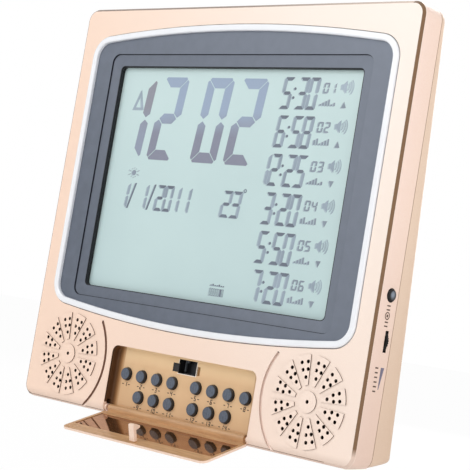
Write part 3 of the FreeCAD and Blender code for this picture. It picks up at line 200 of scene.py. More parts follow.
class Finish(Tree):
    """One material: its shader's sockets, its patterns and its places."""

    def __init__(self, name, **sockets):
        self.material = bpy.data.materials.new(name)
        super().__init__(self.material)
        self.shader = self.nodes["Principled BSDF"]
        self.places = self.node("ShaderNodeTexCoord", {}, {}, output="Object")
        self.set(**sockets)

    def set(self, **sockets):
        """Sets sockets of the shader: base_color=..., roughness=..."""
        for name, value in sockets.items():
            self.feed(self.shader.inputs[name.replace("_", " ").title().replace("Ior", "IOR")], value)
        return self

    def noise(self, scale, detail=3.0, places=None):
        """A cloudy pattern from 0 to 1. The scale counts its spots in a metre."""
        sockets = {"Vector": places or self.places, "Scale": scale, "Detail": detail}
        return self.node("ShaderNodeTexNoise", {}, sockets, output="Fac")

    def ramp(self, fac, *stops):
        """A colour that follows fac, from (place, colour) stops."""
        return self.node("ShaderNodeValToRGB", {"stops": stops}, {0: fac})

    def mix(self, fac, first, second):
        """The second colour over the first, as far as fac says."""
        return self.node("ShaderNodeMix", {"data_type": "RGBA"}, {0: fac, 6: first, 7: second}, output=2)

    def bump(self, height, strength, distance):
        """A fine relief, its distance in metres."""
        sockets = {"Height": height, "Strength": strength, "Distance": distance}
        return self.set(normal=self.node("ShaderNodeBump", {}, sockets))

    def places_mm(self):
        """The place in the clock frame, in millimetres: across, behind the face, and up."""
        x = self.node("ShaderNodeSeparateXYZ", {}, {0: self.places})
        return x / MM, x.other(1) / MM + HANG_Y, x.other(2) / MM + HANG_Z


def between(value, low, high):
    """1 where the value lies between two limits."""
    return (value > low) * (value < high)


def far(a, b, centre_a, centre_b):
    """The square of the distance from a centre."""
    da, db = a - centre_a, b - centre_b
    return da * da + db * db


def inside(a, b, centre_a, centre_b, radius):
    """1 within a circle."""
    return far(a, b, centre_a, centre_b) < radius * radius


def rim(a, b, half_a, half_b, corner, width):
    """1 outside a line that runs a width inside the edge of a rectangle with round corners."""
    over_a, over_b = (abs(a) - (half_a - corner)) | 0, (abs(b) - (half_b - corner)) | 0
    return over_a * over_a + over_b * over_b > (corner - width) * (corner - width)


def rgb(red, green, blue):
    """A colour as it is seen on screen, 0 to 255, as the shader's linear values."""
    def linear(c):
        c /= 255
        return c / 12.92 if c <= 0.04045 else ((c + 0.055) / 1.055) ** 2.4
    return linear(red), linear(green), linear(blue)


# ---------------------------------------------------------------- finishes

def grained(name, colour, spread, scale, roughness, bump=0.0, distance=0.00005, **sockets):
    """A moulded or painted surface: slight colour drift, uneven gloss and a fine grain."""
    finish = Finish(name, **sockets)
    drift = finish.noise(scale / 18, 2.0)
    darker = tuple(c * (1 - spread) for c in colour)
    lighter = tuple(min(1.0, c * (1 + spread)) for c in colour)
    grain = finish.noise(scale)
    uneven = 0.12
    finish.set(base_color=finish.ramp(drift, (0.3, darker), (0.7, lighter)))
    finish.set(roughness=grain * uneven + (roughness - uneven / 2))
    if bump:
        finish.bump(grain, bump, distance)
    return finish


def pearl_paint(name, tone_stops, fleck_low, fleck_high):
    """Pearly paint whose tone follows the depth behind the face: the finish, its colour and its roughness."""
    finish = Finish(name, coat_weight=0.12, coat_roughness=0.18)
    depth = finish.places_mm()[1]
    deepest = 30
    tone = finish.ramp(depth / deepest, *((place / deepest, colour) for place, colour in tone_stops))
    pearl = finish.noise(2600, 2.0)
    fleck = finish.ramp(pearl, (0.35, fleck_low), (0.65, fleck_high))
    finish.bump(pearl, 0.08, 0.00003)
    return finish, finish.mix(0.16, tone, fleck), finish.noise(900) * 0.16 + 0.30


def front_paint():
    """Champagne paint. Its bevel, grooves, wedges, holes and recesses are a darker brown: painted reflection
    on the bevel, painted shade in the rest.
    """
    face, wall = rgb(253, 226, 208), rgb(246, 217, 202)
    finish, paint, roughness = pearl_paint(
        "champagne_front", ((0, face), (1.4, face), (1.6, wall), (PARTING_Y, rgb(242, 212, 194))),
        rgb(232, 204, 186), rgb(255, 246, 238))
    x, depth, height = finish.places_mm()
    paint = face_drift(finish, paint, x, depth, height)
    # Painted shade on the walls of the control panel's recess, in a brown ramp by depth.
    recess = (depth > 0.25) * (abs(x) < OPENING_HALF) * between(height, OPENING_LOW, OPENING_HIGH)
    recess_shade_tone = finish.ramp(depth / 3, (0.1, rgb(34, 20, 10)), (0.35, rgb(84, 54, 30)),
                              (0.9, rgb(104, 70, 40)))
    for mask, colour in (*edge_tones(finish, x, depth, height), *hollow_tones(finish, abs(x), depth, height),
                         (recess, recess_shade_tone), (wall_openings(x, depth, height), rgb(36, 24, 18))):
        paint = finish.mix(mask, paint, colour)
    return finish.set(base_color=paint, roughness=roughness + recess * 0.35, coat_weight=0.12 - recess * 0.12)


def face_drift(finish, paint, x, depth, height):
    """Browner low on the side walls. The face is paler to the upper right as painted light, warmer left, and
    darker low down as painted shade.
    """
    on_face = depth < BEVEL_END_Y
    low_side = (120 - height) / 240 * (depth > BEVEL_END_Y)
    paint = finish.mix(low_side | 0, paint, rgb(206, 172, 152))
    # Painted light: the face grows paler towards its upper right.
    painted_light_pool = ((height + x) / 330 - 0.12) * on_face
    paint = finish.mix((painted_light_pool | 0) * 0.8, paint, rgb(254, 247, 239))
    left = ((40 - x) / 160 | 0) * on_face
    paint = finish.mix(left * 0.5, paint, rgb(250, 214, 188))
    # Painted shade: the face darkens where it rounds into its lower edge.
    return finish.mix(((4 - height) / 9 | 0) * on_face, paint, rgb(206, 180, 164))


def edge_tones(finish, x, depth, height):
    """The bevel round the face, in a painted dark reflection with a tone for each side, and the seam where
    the two halves meet.
    """
    up = height - MIDDLE_Z
    bevel_deep, bevel_wide, seam_wide, outside = 1.4, 1.35, 0.2, HALF_WIDTH + 0.5
    # Painted dark reflection on the bevel and the face's outer edge: darker on the left and top, fading out
    # near the lower right corner.
    bevel = between(depth, -0.05, bevel_deep) * rim(x, up, HALF_WIDTH, HALF_HEIGHT, CORNER, bevel_wide)
    top_reflection_tone = finish.ramp((x + outside) / (2 * outside), (0.0, rgb(126, 106, 92)), (0.5, rgb(142, 120, 104)),
                           (1.0, rgb(226, 204, 188)))
    tone = finish.mix(x < 110, rgb(122, 90, 60), finish.mix(up < 0, top_reflection_tone, rgb(142, 112, 92)))
    tone = finish.mix(((9 - height) / 4 | 0) * (x > 100), tone, rgb(224, 198, 182))
    seam = (depth > PARTING_Y - 0.1) * rim(x, up, HALF_WIDTH, HALF_HEIGHT, CORNER, seam_wide)
    return (bevel, tone), (seam, rgb(150, 112, 84))


def hollow_tones(finish, across, depth, height):
    """Painted shade on the grilles' wedges, in the arc grooves, in the display's seat and in the grilles'
    holes.
    """
    wedge = inside(across, height, GRILLE_X, GRILLE_Z, GRILLE_RADIUS) * between(depth, -0.57, -0.02)
    reach = far(across, height, ARC_X, GRILLE_Z) - ARC_INNER ** 2
    reach = reach / (ARC_OUTER ** 2 - ARC_INNER ** 2)
    groove = between(reach, 0, 1) * (across < ARC_X - 0.1) * between(depth, 0.04, 1.3)
    groove_shade_tone = finish.ramp(reach, (0.1, rgb(134, 102, 84)), (0.3, rgb(196, 166, 148)),
                              (0.5, rgb(252, 228, 214)))
    seat = between(depth, 0.04, 3) * (across < SEAT_HALF) * between(height, SEAT_LOW, SEAT_HIGH)
    hole = inside(across, height, GRILLE_X, GRILLE_Z, HOLES_RADIUS) * (depth > 0.02)
    # Painted shade: the wedges' side walls, the groove (darkest on its inner side), the seat's gap and the
    # holes.
    return ((wedge, rgb(86, 60, 46)), (groove, groove_shade_tone), (seat, rgb(62, 54, 50)),
            (hole, rgb(24, 15, 10)))


def wall_openings(x, depth, height):
    """The stop button's hole and the wheel's slot in the right wall, which get near-black painted shade."""
    stop_hole = between(x, 112, WALL_OUTSIDE) * inside(depth, height, STOP_Y, STOP_Z, STOP_HOLE_RADIUS)
    slot = between(x, 110, WALL_OUTSIDE) * between(depth, SLOT_FRONT, SLOT_BACK)
    return stop_hole | slot * between(height, SLOT_LOW, SLOT_HIGH)


def back_paint():
    """The same paint on the rear half of the case, a little tanner."""
    finish, paint, roughness = pearl_paint(
        "champagne_back", ((0, rgb(230, 203, 180)), (18, rgb(228, 200, 176)), (30, rgb(220, 190, 164))),
        rgb(212, 184, 160), rgb(244, 226, 210))
    height = finish.places_mm()[2]
    paint = finish.mix(((120 - height) / 300) | 0, paint, rgb(200, 168, 142))
    return finish.set(base_color=paint, roughness=roughness)


def bezel_grey():
    """Grey bezel, paler to the upper right as painted light, darker on the low wall of its step as painted
    shade, and nearly black round the display.
    """
    finish = Finish("bezel_grey", specular_ior_level=0.25)
    x, depth, height = finish.places_mm()
    grain = finish.noise(3200)
    tone = finish.ramp(finish.noise(170, 2.0), (0.3, rgb(97, 104, 116)), (0.7, rgb(103, 110, 123)))
    # Painted light: paler towards the upper right.
    tone = finish.mix(((x + height) / 760) | 0, tone, rgb(156, 163, 176))
    # Painted shade on the low wall of the step.
    tone = finish.mix(between(depth, STEP_FRONT_Y, STEP_Y + 0.06), tone, rgb(38, 41, 49))
    tone = finish.mix(between(depth, EDGE_FRONT_Y, EDGE_BACK_Y), tone, rgb(20, 20, 24))
    finish.set(base_color=tone, roughness=grain * 0.12 + 0.36)
    return finish.bump(grain, 0.2, 0.00004)


def display_cell():
    """Reflective liquid crystal: pale green grey, a little paler towards the top."""
    finish = Finish("display_cell", coat_weight=0.2, coat_roughness=0.12)
    height = finish.places_mm()[2]
    pale = finish.ramp(finish.noise(14, 2.0), (0.3, rgb(189, 212, 213)), (0.7, rgb(196, 219, 219)))
    up = (height - WINDOW_LOW) / WINDOW_TALL
    finish.set(base_color=finish.mix(up * 0.4, pale, rgb(210, 230, 229)))
    return finish.set(roughness=finish.noise(5200, 2.0) * 0.10 + 0.42)


def segment_ink():
    """The large segments: bluer in the upper half, browner in the lower, and the other way round in the 1."""
    finish = Finish("segment_ink", coat_weight=0.2, coat_roughness=0.05)
    x, _, height = finish.places_mm()
    blend_low, blend_tall, time_low, first_right = 153, 14, 139, -59.8
    level = (height - blend_low) / blend_tall + finish.noise(70, 2.0) * 0.5 - 0.25
    figures = finish.ramp(level, (0.0, rgb(124, 126, 143)), (0.5, rgb(138, 149, 168)),
                          (1.0, rgb(148, 166, 190)))
    first = finish.ramp(level, (0.0, rgb(138, 147, 166)), (0.6, rgb(136, 141, 156)),
                        (1.0, rgb(136, 136, 146)))
    tone = finish.mix(x - (height - time_low) * LEAN < first_right, figures, first)
    speckle = finish.noise(1800, 2.0)
    return finish.set(base_color=finish.mix(speckle * 0.25, tone, rgb(172, 182, 204)),
                      roughness=speckle * 0.1 + 0.4)


def ink(name, colour):
    """A small switched-on mark of the display."""
    return grained(name, colour, 0.12, 1600, 0.42, coat_weight=0.2, coat_roughness=0.05)


def segment_shadow():
    """The shadow that a segment casts on the reflector behind the cell."""
    finish = Finish("segment_shadow", coat_weight=0.2, coat_roughness=0.05)
    tone = finish.noise(60)
    return finish.set(base_color=finish.ramp(tone, (0.4, rgb(160, 178, 188)), (0.6, rgb(172, 190, 198))),
                      roughness=tone * 0.1 + 0.42)


def tray_paint():
    """Golden tan tray, paler near the top as painted light, turning brown towards its side walls as painted
    shade, and black inside the latch's hole as painted shade.
    """
    finish = Finish("tray_paint", coat_roughness=0.15, specular_ior_level=0.3)
    x, depth, height = finish.places_mm()
    grain = finish.noise(1500)
    tan = finish.ramp(finish.noise(70, 2.0), (0.3, rgb(224, 184, 140)), (0.7, rgb(232, 194, 150)))
    tan = finish.mix(grain * 0.2, tan, rgb(238, 206, 166))
    # Painted light: paler towards the top of the tray.
    tan = finish.mix(((height - 27) / 9) | 0, tan, rgb(255, 226, 180))
    tan = finish.mix(((16 - height) / 70) | 0, tan, rgb(190, 138, 90))
    notch = between(x, HOLE_HALF + 0.3, NOTCH_RIGHT) * between(height, NOTCH_LOW, NOTCH_HIGH)
    tan = finish.mix(notch * (depth > TRAY_FLOOR_Y + 0.1), tan, rgb(150, 108, 58))
    side = (abs(x) - TRAY_FLAT_HALF) / TRAY_SIDE
    # Painted shade: browner towards the side walls, darkest on them.
    wall = finish.ramp(side, (0.0, rgb(216, 178, 138)), (0.2, rgb(196, 152, 108)), (0.42, rgb(160, 116, 74)),
                       (0.7, rgb(122, 84, 50)), (1.0, rgb(92, 60, 34)))
    on_wall = side > 0
    tan = finish.mix(on_wall, tan, wall)
    # Painted shade: near black on the walls of the latch's hole.
    hole = (abs(x) < HOLE_HALF + 0.05) * between(height, HOLE_LOW - 0.1, HOLE_HIGH + 0.1)
    finish.set(base_color=finish.mix(hole * (depth > TRAY_FLOOR_Y + 0.05), tan, rgb(20, 18, 18)))
    finish.set(roughness=grain * 0.15 + 0.28 + on_wall * 0.25, coat_weight=0.15 - on_wall * 0.15)
    return finish.bump(grain, 0.06, 0.00003)


def key_rubber():
    """Grey silicone, faintly ribbed on the face and darker down the side as painted shade."""
    finish = Finish("key_rubber", sheen_weight=0.1)
    depth = finish.places_mm()[1]
    grain = finish.noise(1100)
    ribs = finish.node("ShaderNodeTexWave", {"bands_direction": "X"},
                       {"Vector": finish.places, "Scale": 190.0, "Distortion": 1.5}, output="Fac")
    face = finish.ramp(ribs * 0.15 + grain * 0.85, (0.3, rgb(74, 83, 97)), (0.7, rgb(92, 102, 118)))
    # Painted shade: the key's side darkens to near black away from its face.
    side = finish.ramp((depth - KEY_FACE_Y) / KEY_SKIRT, (0.05, rgb(62, 67, 75)), (0.4, rgb(26, 27, 30)))
    finish.set(base_color=finish.mix(depth > KEY_FACE_Y + 0.06, face, side), roughness=grain * 0.12 + 0.5)
    return finish.bump(ribs * 0.4 + grain, 0.25, 0.00005)


def door_amber():
    """Golden brown door, streaked along its length. Glossy panel inside, champagne on the outer side."""
    finish = Finish("door_amber", coat_roughness=0.02)
    x, depth, height = finish.places_mm()
    behind, above = depth - HINGE_Y, height - HINGE_Z
    along = above * math.cos(DOOR_OPEN) - behind * math.sin(DOOR_OPEN)
    lift = behind * math.cos(DOOR_OPEN) + above * math.sin(DOOR_OPEN)
    inner_face = DOOR_THICK - HINGE_Y
    panel = between(along, PANEL_NEAR, PANEL_END) * (abs(x) < PANEL_HALF)
    panel = panel * between(lift, inner_face - PANEL_DEEP - 0.05, inner_face - 0.02)
    stretched = finish.node("ShaderNodeMapping", {}, {"Vector": finish.places, "Scale": (0.12, 1, 1)})
    streak = finish.noise(700.0, places=stretched)
    amber = finish.ramp(streak, (0.3, rgb(150, 108, 75)), (0.7, rgb(173, 131, 95)))
    gold = finish.ramp(streak, (0.3, rgb(188, 144, 102)), (0.7, rgb(215, 171, 125)))
    pale = finish.ramp(finish.noise(900), (0.3, rgb(242, 212, 190)), (0.7, rgb(250, 222, 202)))
    edge = rim(x, along - DOOR_MIDDLE, DOOR_HALF, DOOR_HALF_LENGTH, DOOR_CORNER, 0.08) * (lift < -0.5)
    outer = lift < -2.7
    hook = (lift > inner_face + 0.4) * (along > HOOK_NEAR)
    paint = finish.mix(edge | outer | hook, gold, pale)
    return finish.set(base_color=finish.mix(panel, paint, amber), roughness=0.30 - panel * 0.25,
                      metallic=panel * 0.85, coat_weight=0.2 - panel * 0.1)


def stop_grey():
    """Grey button with a painted highlight high on its top, and near black at its rim as painted shade."""
    finish = Finish("stop_grey", coat_roughness=0.1)
    _, depth, height = finish.places_mm()
    grain = finish.noise(900)
    # Painted highlight high in the middle of the top, and painted shade darkening to near black at its rim
    # and down its side.
    reach = far(depth, height, STOP_Y - 0.3, STOP_Z + 0.4) / (STOP_TOP_RADIUS - 0.05) ** 2
    top = finish.ramp(reach + grain * 0.2 - 0.1, (0.0, rgb(122, 132, 146)), (0.5, rgb(80, 88, 100)),
                      (1.0, rgb(32, 33, 38)))
    on_top = inside(depth, height, STOP_Y, STOP_Z, STOP_TOP_RADIUS)
    return finish.set(base_color=finish.mix(on_top, rgb(14, 13, 14), top), coat_weight=on_top * 0.5,
                      roughness=grain * 0.12 + 0.62 - on_top * 0.32)


def board_green():
    """Solder mask with a faint layout of tracks under it."""
    finish = Finish("board_green", coat_weight=0.5, coat_roughness=0.12)
    tracks = finish.node("ShaderNodeTexVoronoi", {"distance": "MANHATTAN", "feature": "F1"},
                         {"Vector": finish.places, "Scale": 240.0})
    finish.set(base_color=finish.ramp(tracks, (0.25, rgb(24, 92, 46)), (0.32, rgb(46, 128, 70))))
    return finish.set(roughness=finish.noise(500) * 0.15 + 0.3)


def cell_film():
    """Shrink film on the cells: a plain blue body and a copper band at one end."""
    finish = Finish("cell_film", coat_weight=0.6, coat_roughness=0.08)
    band = finish.places_mm()[0] > BAY_X + CELL_HALF - CELL_BAND
    tone = finish.ramp(finish.noise(120), (0.3, rgb(42, 66, 112)), (0.7, rgb(58, 84, 132)))
    return finish.set(base_color=finish.mix(band, tone, rgb(176, 122, 78)),
                      roughness=finish.noise(700) * 0.1 + 0.25)


def cone_paper():
    """Pressed black paper."""
    finish = Finish("cone_paper")
    fibre = finish.noise(1600, 4.0)
    finish.set(base_color=finish.ramp(fibre, (0.3, rgb(22, 22, 23)), (0.7, rgb(40, 40, 41))))
    finish.set(roughness=fibre * 0.2 + 0.7)
    return finish.bump(fibre, 0.4, 0.0001)


def black_plastic(name, roughness=0.4):
    """Moulded black plastic."""
    return grained(name, rgb(20, 20, 22), 0.15, 1800, roughness, 0.15)


def dress_nodes():
    """Gives every CAD node its finish."""
    screws = grained("screw_zinc", rgb(176, 178, 182), 0.08, 2200, 0.30, 0.1, metallic=1.0)
    board, back, keys, cone = board_green(), back_paint(), key_rubber(), cone_paper()
    black = black_plastic("black_plastic")
    basket = grained("basket_black", rgb(26, 26, 28), 0.1, 1200, 0.38, coat_weight=0.3)
    yoke = grained("yoke_steel", rgb(120, 120, 124), 0.08, 900, 0.35, metallic=0.9)
    finishes = {
        "front_case": front_paint(), "rear_case": back, "battery_door": back,
        "trim_ring": grained("ring_silver", rgb(244, 246, 250), 0.015, 1800, 0.22, 0.03, coat_weight=0.4),
        "display_bezel": bezel_grey(), "lcd_gasket": black_plastic("gasket_black", 0.7),
        "lcd_glass": display_cell(),
        "light_guide": grained("milky_acrylic", rgb(226, 232, 236), 0.02, 500, 0.25, transmission_weight=0.3),
        "elastomer_strips": grained("strip_rubber", rgb(196, 150, 158), 0.06, 900, 0.6),
        "display_board": board, "key_board": board, "side_board": board,
        "controller_chip": grained("epoxy_black", rgb(14, 14, 15), 0.1, 300, 0.2, coat_weight=0.6),
        "capacitors": grained("capacitor_sleeve", rgb(48, 54, 104), 0.08, 600, 0.3),
        "control_tray": tray_paint(), "latch_catch": black, "panel_door": door_amber(),
        "door_pins": grained("pin_tan", rgb(196, 156, 116), 0.06, 1400, 0.35), "stop_button": stop_grey(),
        "volume_wheel": grained("wheel_black", rgb(10, 10, 10), 0.2, 1500, 0.6, specular_ior_level=0.2),
        "stop_switch": black, "volume_control": black, "battery_cells": cell_film(),
        "battery_contacts": grained("contact_nickel", rgb(206, 204, 196), 0.05, 700, 0.2, metallic=1.0),
    }
    for screwed in ("display", "tray", "key_board", "side_board", "speaker", "case"):
        finishes[screwed + "_screws"] = screws
    for side in ("left", "right"):
        finishes["speaker_frame_" + side] = basket
        finishes["speaker_cone_" + side] = cone
        finishes["speaker_magnet_" + side] = yoke
    for name, node in nodes.items():
        if name.startswith(("key_upper", "key_lower", "key_mat")):
            finishes[name] = keys
        node.data.materials.clear()
        node.data.materials.append(finishes[name].material)


# ---------------------------------------------------------------- making pieces

def finish_piece(bm, name, body, slot, *finishes):
    """Turns a finished bmesh into a piece that rides on a body. A face's tone picks its finish."""
    bmesh.ops.recalc_face_normals(bm, faces=bm.faces)
    mesh = bpy.data.meshes.new(name)
    bm.to_mesh(mesh)
    bm.free()
    for finish in finishes:
        mesh.materials.append(finish.material)
    piece = bpy.data.objects.new(name, mesh)
    bpy.context.scene.collection.objects.link(piece)
    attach(piece, body)


def plate(bm, outline, place, thick, tone=0):
    """A closed flat plate: (across, up) corners put in space by place, which takes a height too."""
    before = len(bm.faces)
    face = bm.faces.new([bm.verts.new(place(a, b, 0.0)) for a, b in outline])
    raised = bmesh.ops.extrude_face_region(bm, geom=[face], use_keep_orig=True)["geom"]
    push = place(0, 0, thick) - place(0, 0, 0)
    bmesh.ops.translate(bm, verts=[v for v in raised if isinstance(v, bmesh.types.BMVert)], vec=push)
    bm.faces.ensure_lookup_table()
    for made in bm.faces[before:]:
        made.material_index = tone


def ring_plate(bm, outer, inner, place, thick):
    """A plate with one hole: the two outlines have the same number of corners."""
    count = len(outer)
    for i in range(count):
        j = (i + 1) % count
        plate(bm, [outer[i], outer[j], inner[j], inner[i]], place, thick)


def facing(depth):
    """A way to place marks on a surface at that depth, with height towards the reader."""
    return lambda x, z, height: at(x, depth - height, z)


on_glass, on_tray = facing(GLASS_Y), facing(TRAY_FLOOR_Y)


def on_reflector(x, z, height):
    """Where a mark's shadow falls: a little to the left of the mark, and lower."""
    return on_glass(x - 0.7, z - 0.3, height)


def on_right_wall(y, z, height):
    """On the outside of the right wall, from a depth and a height."""
    return at(HALF_WIDTH + height, y, z)


def disc(x, z, radius, count=20):
    """The outline of a disc."""
    return [(x + radius * math.cos(math.tau * i / count), z + radius * math.sin(math.tau * i / count))
            for i in range(count)]


def box(left, right, low, high):
    """The outline of a rectangle."""
    return [(left, low), (right, low), (right, high), (left, high)]


# ---------------------------------------------------------------- figures of the display

# The bars of each figure: a at the top, then b and c down the right, d below, e and f up the left, g across.
LIT = {"0": "abcdef", "1": "bc", "2": "abged", "3": "abgcd", "4": "fgbc", "5": "afgcd", "6": "afgedc",
       "7": "abc", "8": "abcdefg", "9": "abcdfg"}

# How far marks and their shadows stand out.
INK, SHADOW = 0.08, 0.03

# The sheet that the display is drawn on, and the size of a step on it.
SCREEN_LEFT, SCREEN_TOP, SCREEN_SCALE = -100.568, 199.13, 0.122065


def screen(across, down):
    """A point of the display drawn on a sheet 1562 wide, in clock millimetres."""
    return SCREEN_LEFT + SCREEN_SCALE * across, SCREEN_TOP - SCREEN_SCALE * down


def figure_bars(width, height, bar, gap):
    """The seven bars of a figure, as outlines in a box of that width and height."""
    middle, half, cut = height / 2, bar / 2, bar * 0.38
    top = [(cut, height), (width - cut, height), (width - cut / 2 - gap, height - cut / 2),
           (width - bar - gap, height - bar), (bar + gap, height - bar), (cut / 2 + gap, height - cut / 2)]
    right = [(width, height - cut - gap / 2), (width, middle + half * 0.95),
             (width - half, middle + bar * 0.12), (width - bar, middle + half + gap),
             (width - bar, height - bar - gap), (width - cut / 2, height - cut / 2 - gap)]
    centre = [(half + gap, middle), (bar + gap, middle + half), (width - bar - gap, middle + half),
              (width - half - gap, middle), (width - bar - gap, middle - half), (bar + gap, middle - half)]
    return {"a": top, "d": [(x, height - y) for x, y in top], "b": right, "g": centre,
            "c": [(x, height - y) for x, y in right], "e": [(width - x, height - y) for x, y in right],
            "f": [(width - x, y) for x, y in right]}


def figure(bm, digit, left, low, width, height, bar, place, thick, gap):
    """One leaning figure, its lower left corner at (left, low). Its upright bars take the second tone."""
    bars = figure_bars(width, height, bar, gap)
    for name in LIT[digit]:
        plate(bm, [(left + x + LEAN * y, low + y) for x, y in bars[name]], place, thick,
              tone=int(name in "bcef"))


def draw_time(bm, place, thick):
    """The large time."""
    height, width, bar = 46.2, 18.9, 5.6
    for digit, left, top in (("1", 158, height - 0.8), ("2", 355, height), ("0", 626, height),
                             ("2", 823, height)):
        x, low = screen(left, 495)
        figure(bm, digit, x, low, width, top, bar, place, thick, 0.3)


def draw_half_day(bm, place, thick):
    """The mark of the half day, left of the time: a narrow triangle."""
    x, low = screen(220, 270)
    width, height, inset = 8.2, 11.4, 1.9
    tip = x + width / 2 + 0.4
    outer = [(x, low), (x + width, low), (tip, low + height)]
    inner = [(x + inset, low + 1.3), (x + width - inset, low + 1.3), (tip, low + height - 3.6)]
    ring_plate(bm, outer, inner, place, thick)


def draw_sun(bm, place, thick):
    """The sun: a disc with rays, longer to the sides."""
    x, z = screen(296, 560)
    plate(bm, disc(x, z, 1.5), place, thick)
    rays, start, half = 10, 2.3, 0.16
    for i in range(rays):
        turn = math.tau * (i + 0.5) / rays
        c, s = math.cos(turn), math.sin(turn)
        end = 4.3 if abs(c) > 0.7 else 2.9
        ray = [(x + a * c - b * s, z + a * s + b * c) for a, b in box(start, end, -half, half)]
        plate(bm, ray, place, thick)


def draw_date(bm, place, thick):
    """The date, and the temperature with its ring."""
    height, bar, slash, over = 14.2, 1.65, 1.2, 4.2
    low = screen(0, 723)[1]
    high = low + height
    for digit, left, width in (("1", 232, 6.0), ("1", 352, 6.0), ("2", 455, 6.2), ("0", 507, 6.2),
                               ("1", 556, 6.0), ("1", 618, 6.0), ("2", 853, 6.6), ("3", 908, 6.6)):
        figure(bm, digit, screen(left, 0)[0], low, width, height, bar, place, thick, 0.12)
    for left in (283, 408):
        x = screen(left, 0)[0]
        plate(bm, [(x, low), (x + slash, low), (x + over + slash, high), (x + over, high)], place, thick)
    x, z = screen(981, 602)
    ring_plate(bm, disc(x, z, 1.05, 12), disc(x, z, 0.6, 12), place, thick)


# The six times as hours and minutes, and the rows whose time is past noon.
ROWS = (("5", "30"), ("6", "58"), ("12", "25"), ("3", "20"), ("5", "50"), ("7", "20"))
AFTER_NOON = (2, 3, 4, 5)

# The top of the first row and the way to the next on the sheet, and the height of the figures.
ROW_TOP, ROW_PITCH, ROW_HEIGHT = 108, 163.4, 16.6


def row_low(row):
    """The lower edge of a row's figures."""
    return screen(0, ROW_TOP + ROW_PITCH * row)[1] - ROW_HEIGHT


def draw_rows(bm, place, thick):
    """The six times at the right, with a colon in each."""
    width, bar, gap = 6.5, 1.75, 0.12
    for row, (hours, minutes) in enumerate(ROWS):
        low = row_low(row)
        for i, digit in enumerate(hours[::-1]):
            figure(bm, digit, screen(1089 - 56 * i, 0)[0], low, width, ROW_HEIGHT, bar, place, thick, gap)
        for i, digit in enumerate(minutes):
            figure(bm, digit, screen(1171 + 57 * i, 0)[0], low, width, ROW_HEIGHT, bar, place, thick, gap)
        x = screen(1154, 0)[0]
        for up in (0.36, 0.64):
            dot = disc(x + LEAN * ROW_HEIGHT * up, low + ROW_HEIGHT * up, 0.75, 10)
            plate(bm, dot, place, thick)


def draw_row_marks(bm, place, thick):
    """Beside each time: its number, a short scale under it, and a triangle for the half of the day."""
    for row in range(len(ROWS)):
        low = row_low(row)
        for i, digit in enumerate("0" + str(row + 1)):
            figure(bm, digit, screen(1312 + 36 * i, 0)[0], low + 8.6, 3.3, 5.4, 0.8, place, thick, 0.08)
        for i in range(6):
            x = screen(1304, 0)[0] + 1.75 * i
            tall = 0.9 + 0.8 * ((i * 5 + row * 2) % 4)
            plate(bm, box(x, x + 1.0, low + 2.2, low + 2.2 + tall), place, thick)
        x = screen(1417, 0)[0]
        base, tip = (low + 4.6, low + 1.4) if row in AFTER_NOON else (low + 1.4, low + 4.6)
        plate(bm, [(x, base), (x + 3, base), (x + 1.5, tip)], place, thick)


def draw_speakers(bm, place, thick):
    """A small speaker at the end of each row."""
    for row in range(len(ROWS)):
        draw_speaker(bm, screen(1404, 0)[0], row_low(row) + ROW_HEIGHT - 4.6, place, thick)


def draw_speaker(bm, x, z, place, thick):
    """A small speaker with three arcs of sound."""
    plate(bm, box(x, x + 1.2, z - 1.3, z + 1.3), place, thick)
    plate(bm, [(x + 1.4, z - 1.3), (x + 3.3, z - 3.2), (x + 3.3, z + 3.2), (x + 1.4, z + 1.3)], place, thick)
    steps, line = 7, 0.42
    for radius in (2.5, 3.9, 5.3):
        turns = [math.radians(-40 + 80 * i / steps) for i in range(steps + 1)]
        for first, second in zip(turns, turns[1:]):
            corners = [(radius, first), (radius + line, first), (radius + line, second), (radius, second)]
            plate(bm, [(x + 2 + r * math.cos(t), z + r * math.sin(t)) for r, t in corners], place, thick)


def draw_week(bm, place, thick):
    """The week as seven boxes, one of them filled, under a short row of dots."""
    x, low = screen(872, 1060)
    days, filled, pitch, tall, line = 7, 5, 1.45, 3.9, 0.25
    for i in range(days):
        left = x + i * pitch
        if i == filled:
            plate(bm, box(left, left + 1.1, low, low + tall), place, thick)
        else:
            right = left + 1.05
            ring_plate(bm, box(left, right, low, low + tall),
                       box(left + line, right - line, low + line, low + tall - line), place, thick)
        dot_low, dot_tall = low + 5.1, 0.6 + 0.5 * (i % 3 == 1)
        plate(bm, box(left + 0.1, left + 1.0, dot_low, dot_low + dot_tall), place, thick)


def make_display():
    """Each mark of the display, and the shadow of the smaller ones on the reflector."""
    bold, shade = segment_ink(), segment_shadow()
    dark, soft = ink("figure_bars_flat", rgb(102, 111, 125)), ink("figure_bars_upright", rgb(146, 160, 174))
    pale, faint = ink("mark_ink", rgb(132, 143, 156)), ink("faint_ink", rgb(152, 167, 181))
    for name, draw, finishes in (
            ("time_figures", draw_time, (bold, bold)), ("half_day_mark", draw_half_day, (faint,)),
            ("sun_mark", draw_sun, (pale,)), ("date_figures", draw_date, (dark, soft)),
            ("row_figures", draw_rows, (dark, soft)), ("row_marks", draw_row_marks, (pale, pale)),
            ("speaker_marks", draw_speakers, (faint,)), ("week_mark", draw_week, (dark,))):
        drawn_piece(draw, name, on_glass, INK, finishes)
        if draw is not draw_time:
            drawn_piece(draw, name + "_shadow", on_reflector, SHADOW, (shade, shade))


def drawn_piece(draw, name, place, thick, finishes):
    """A piece of the display from one of the drawings."""
    bm = bmesh.new()
    draw(bm, place, thick)
    finish_piece(bm, name, "case", "lcd_cell", *finishes)


# ---------------------------------------------------------------- printed marks

def key_places():
    """The middle of each key, by rows from the left."""
    places = []
    for height, per_side in ((UPPER_ROW, 4), (LOWER_ROW, 3)):
        right = [KEY_MIDDLE + KEY_PITCH * step for step in range(per_side)]
        left = [-x for x in reversed(right)]
        places += [(x, height) for x in left + right]
    return places


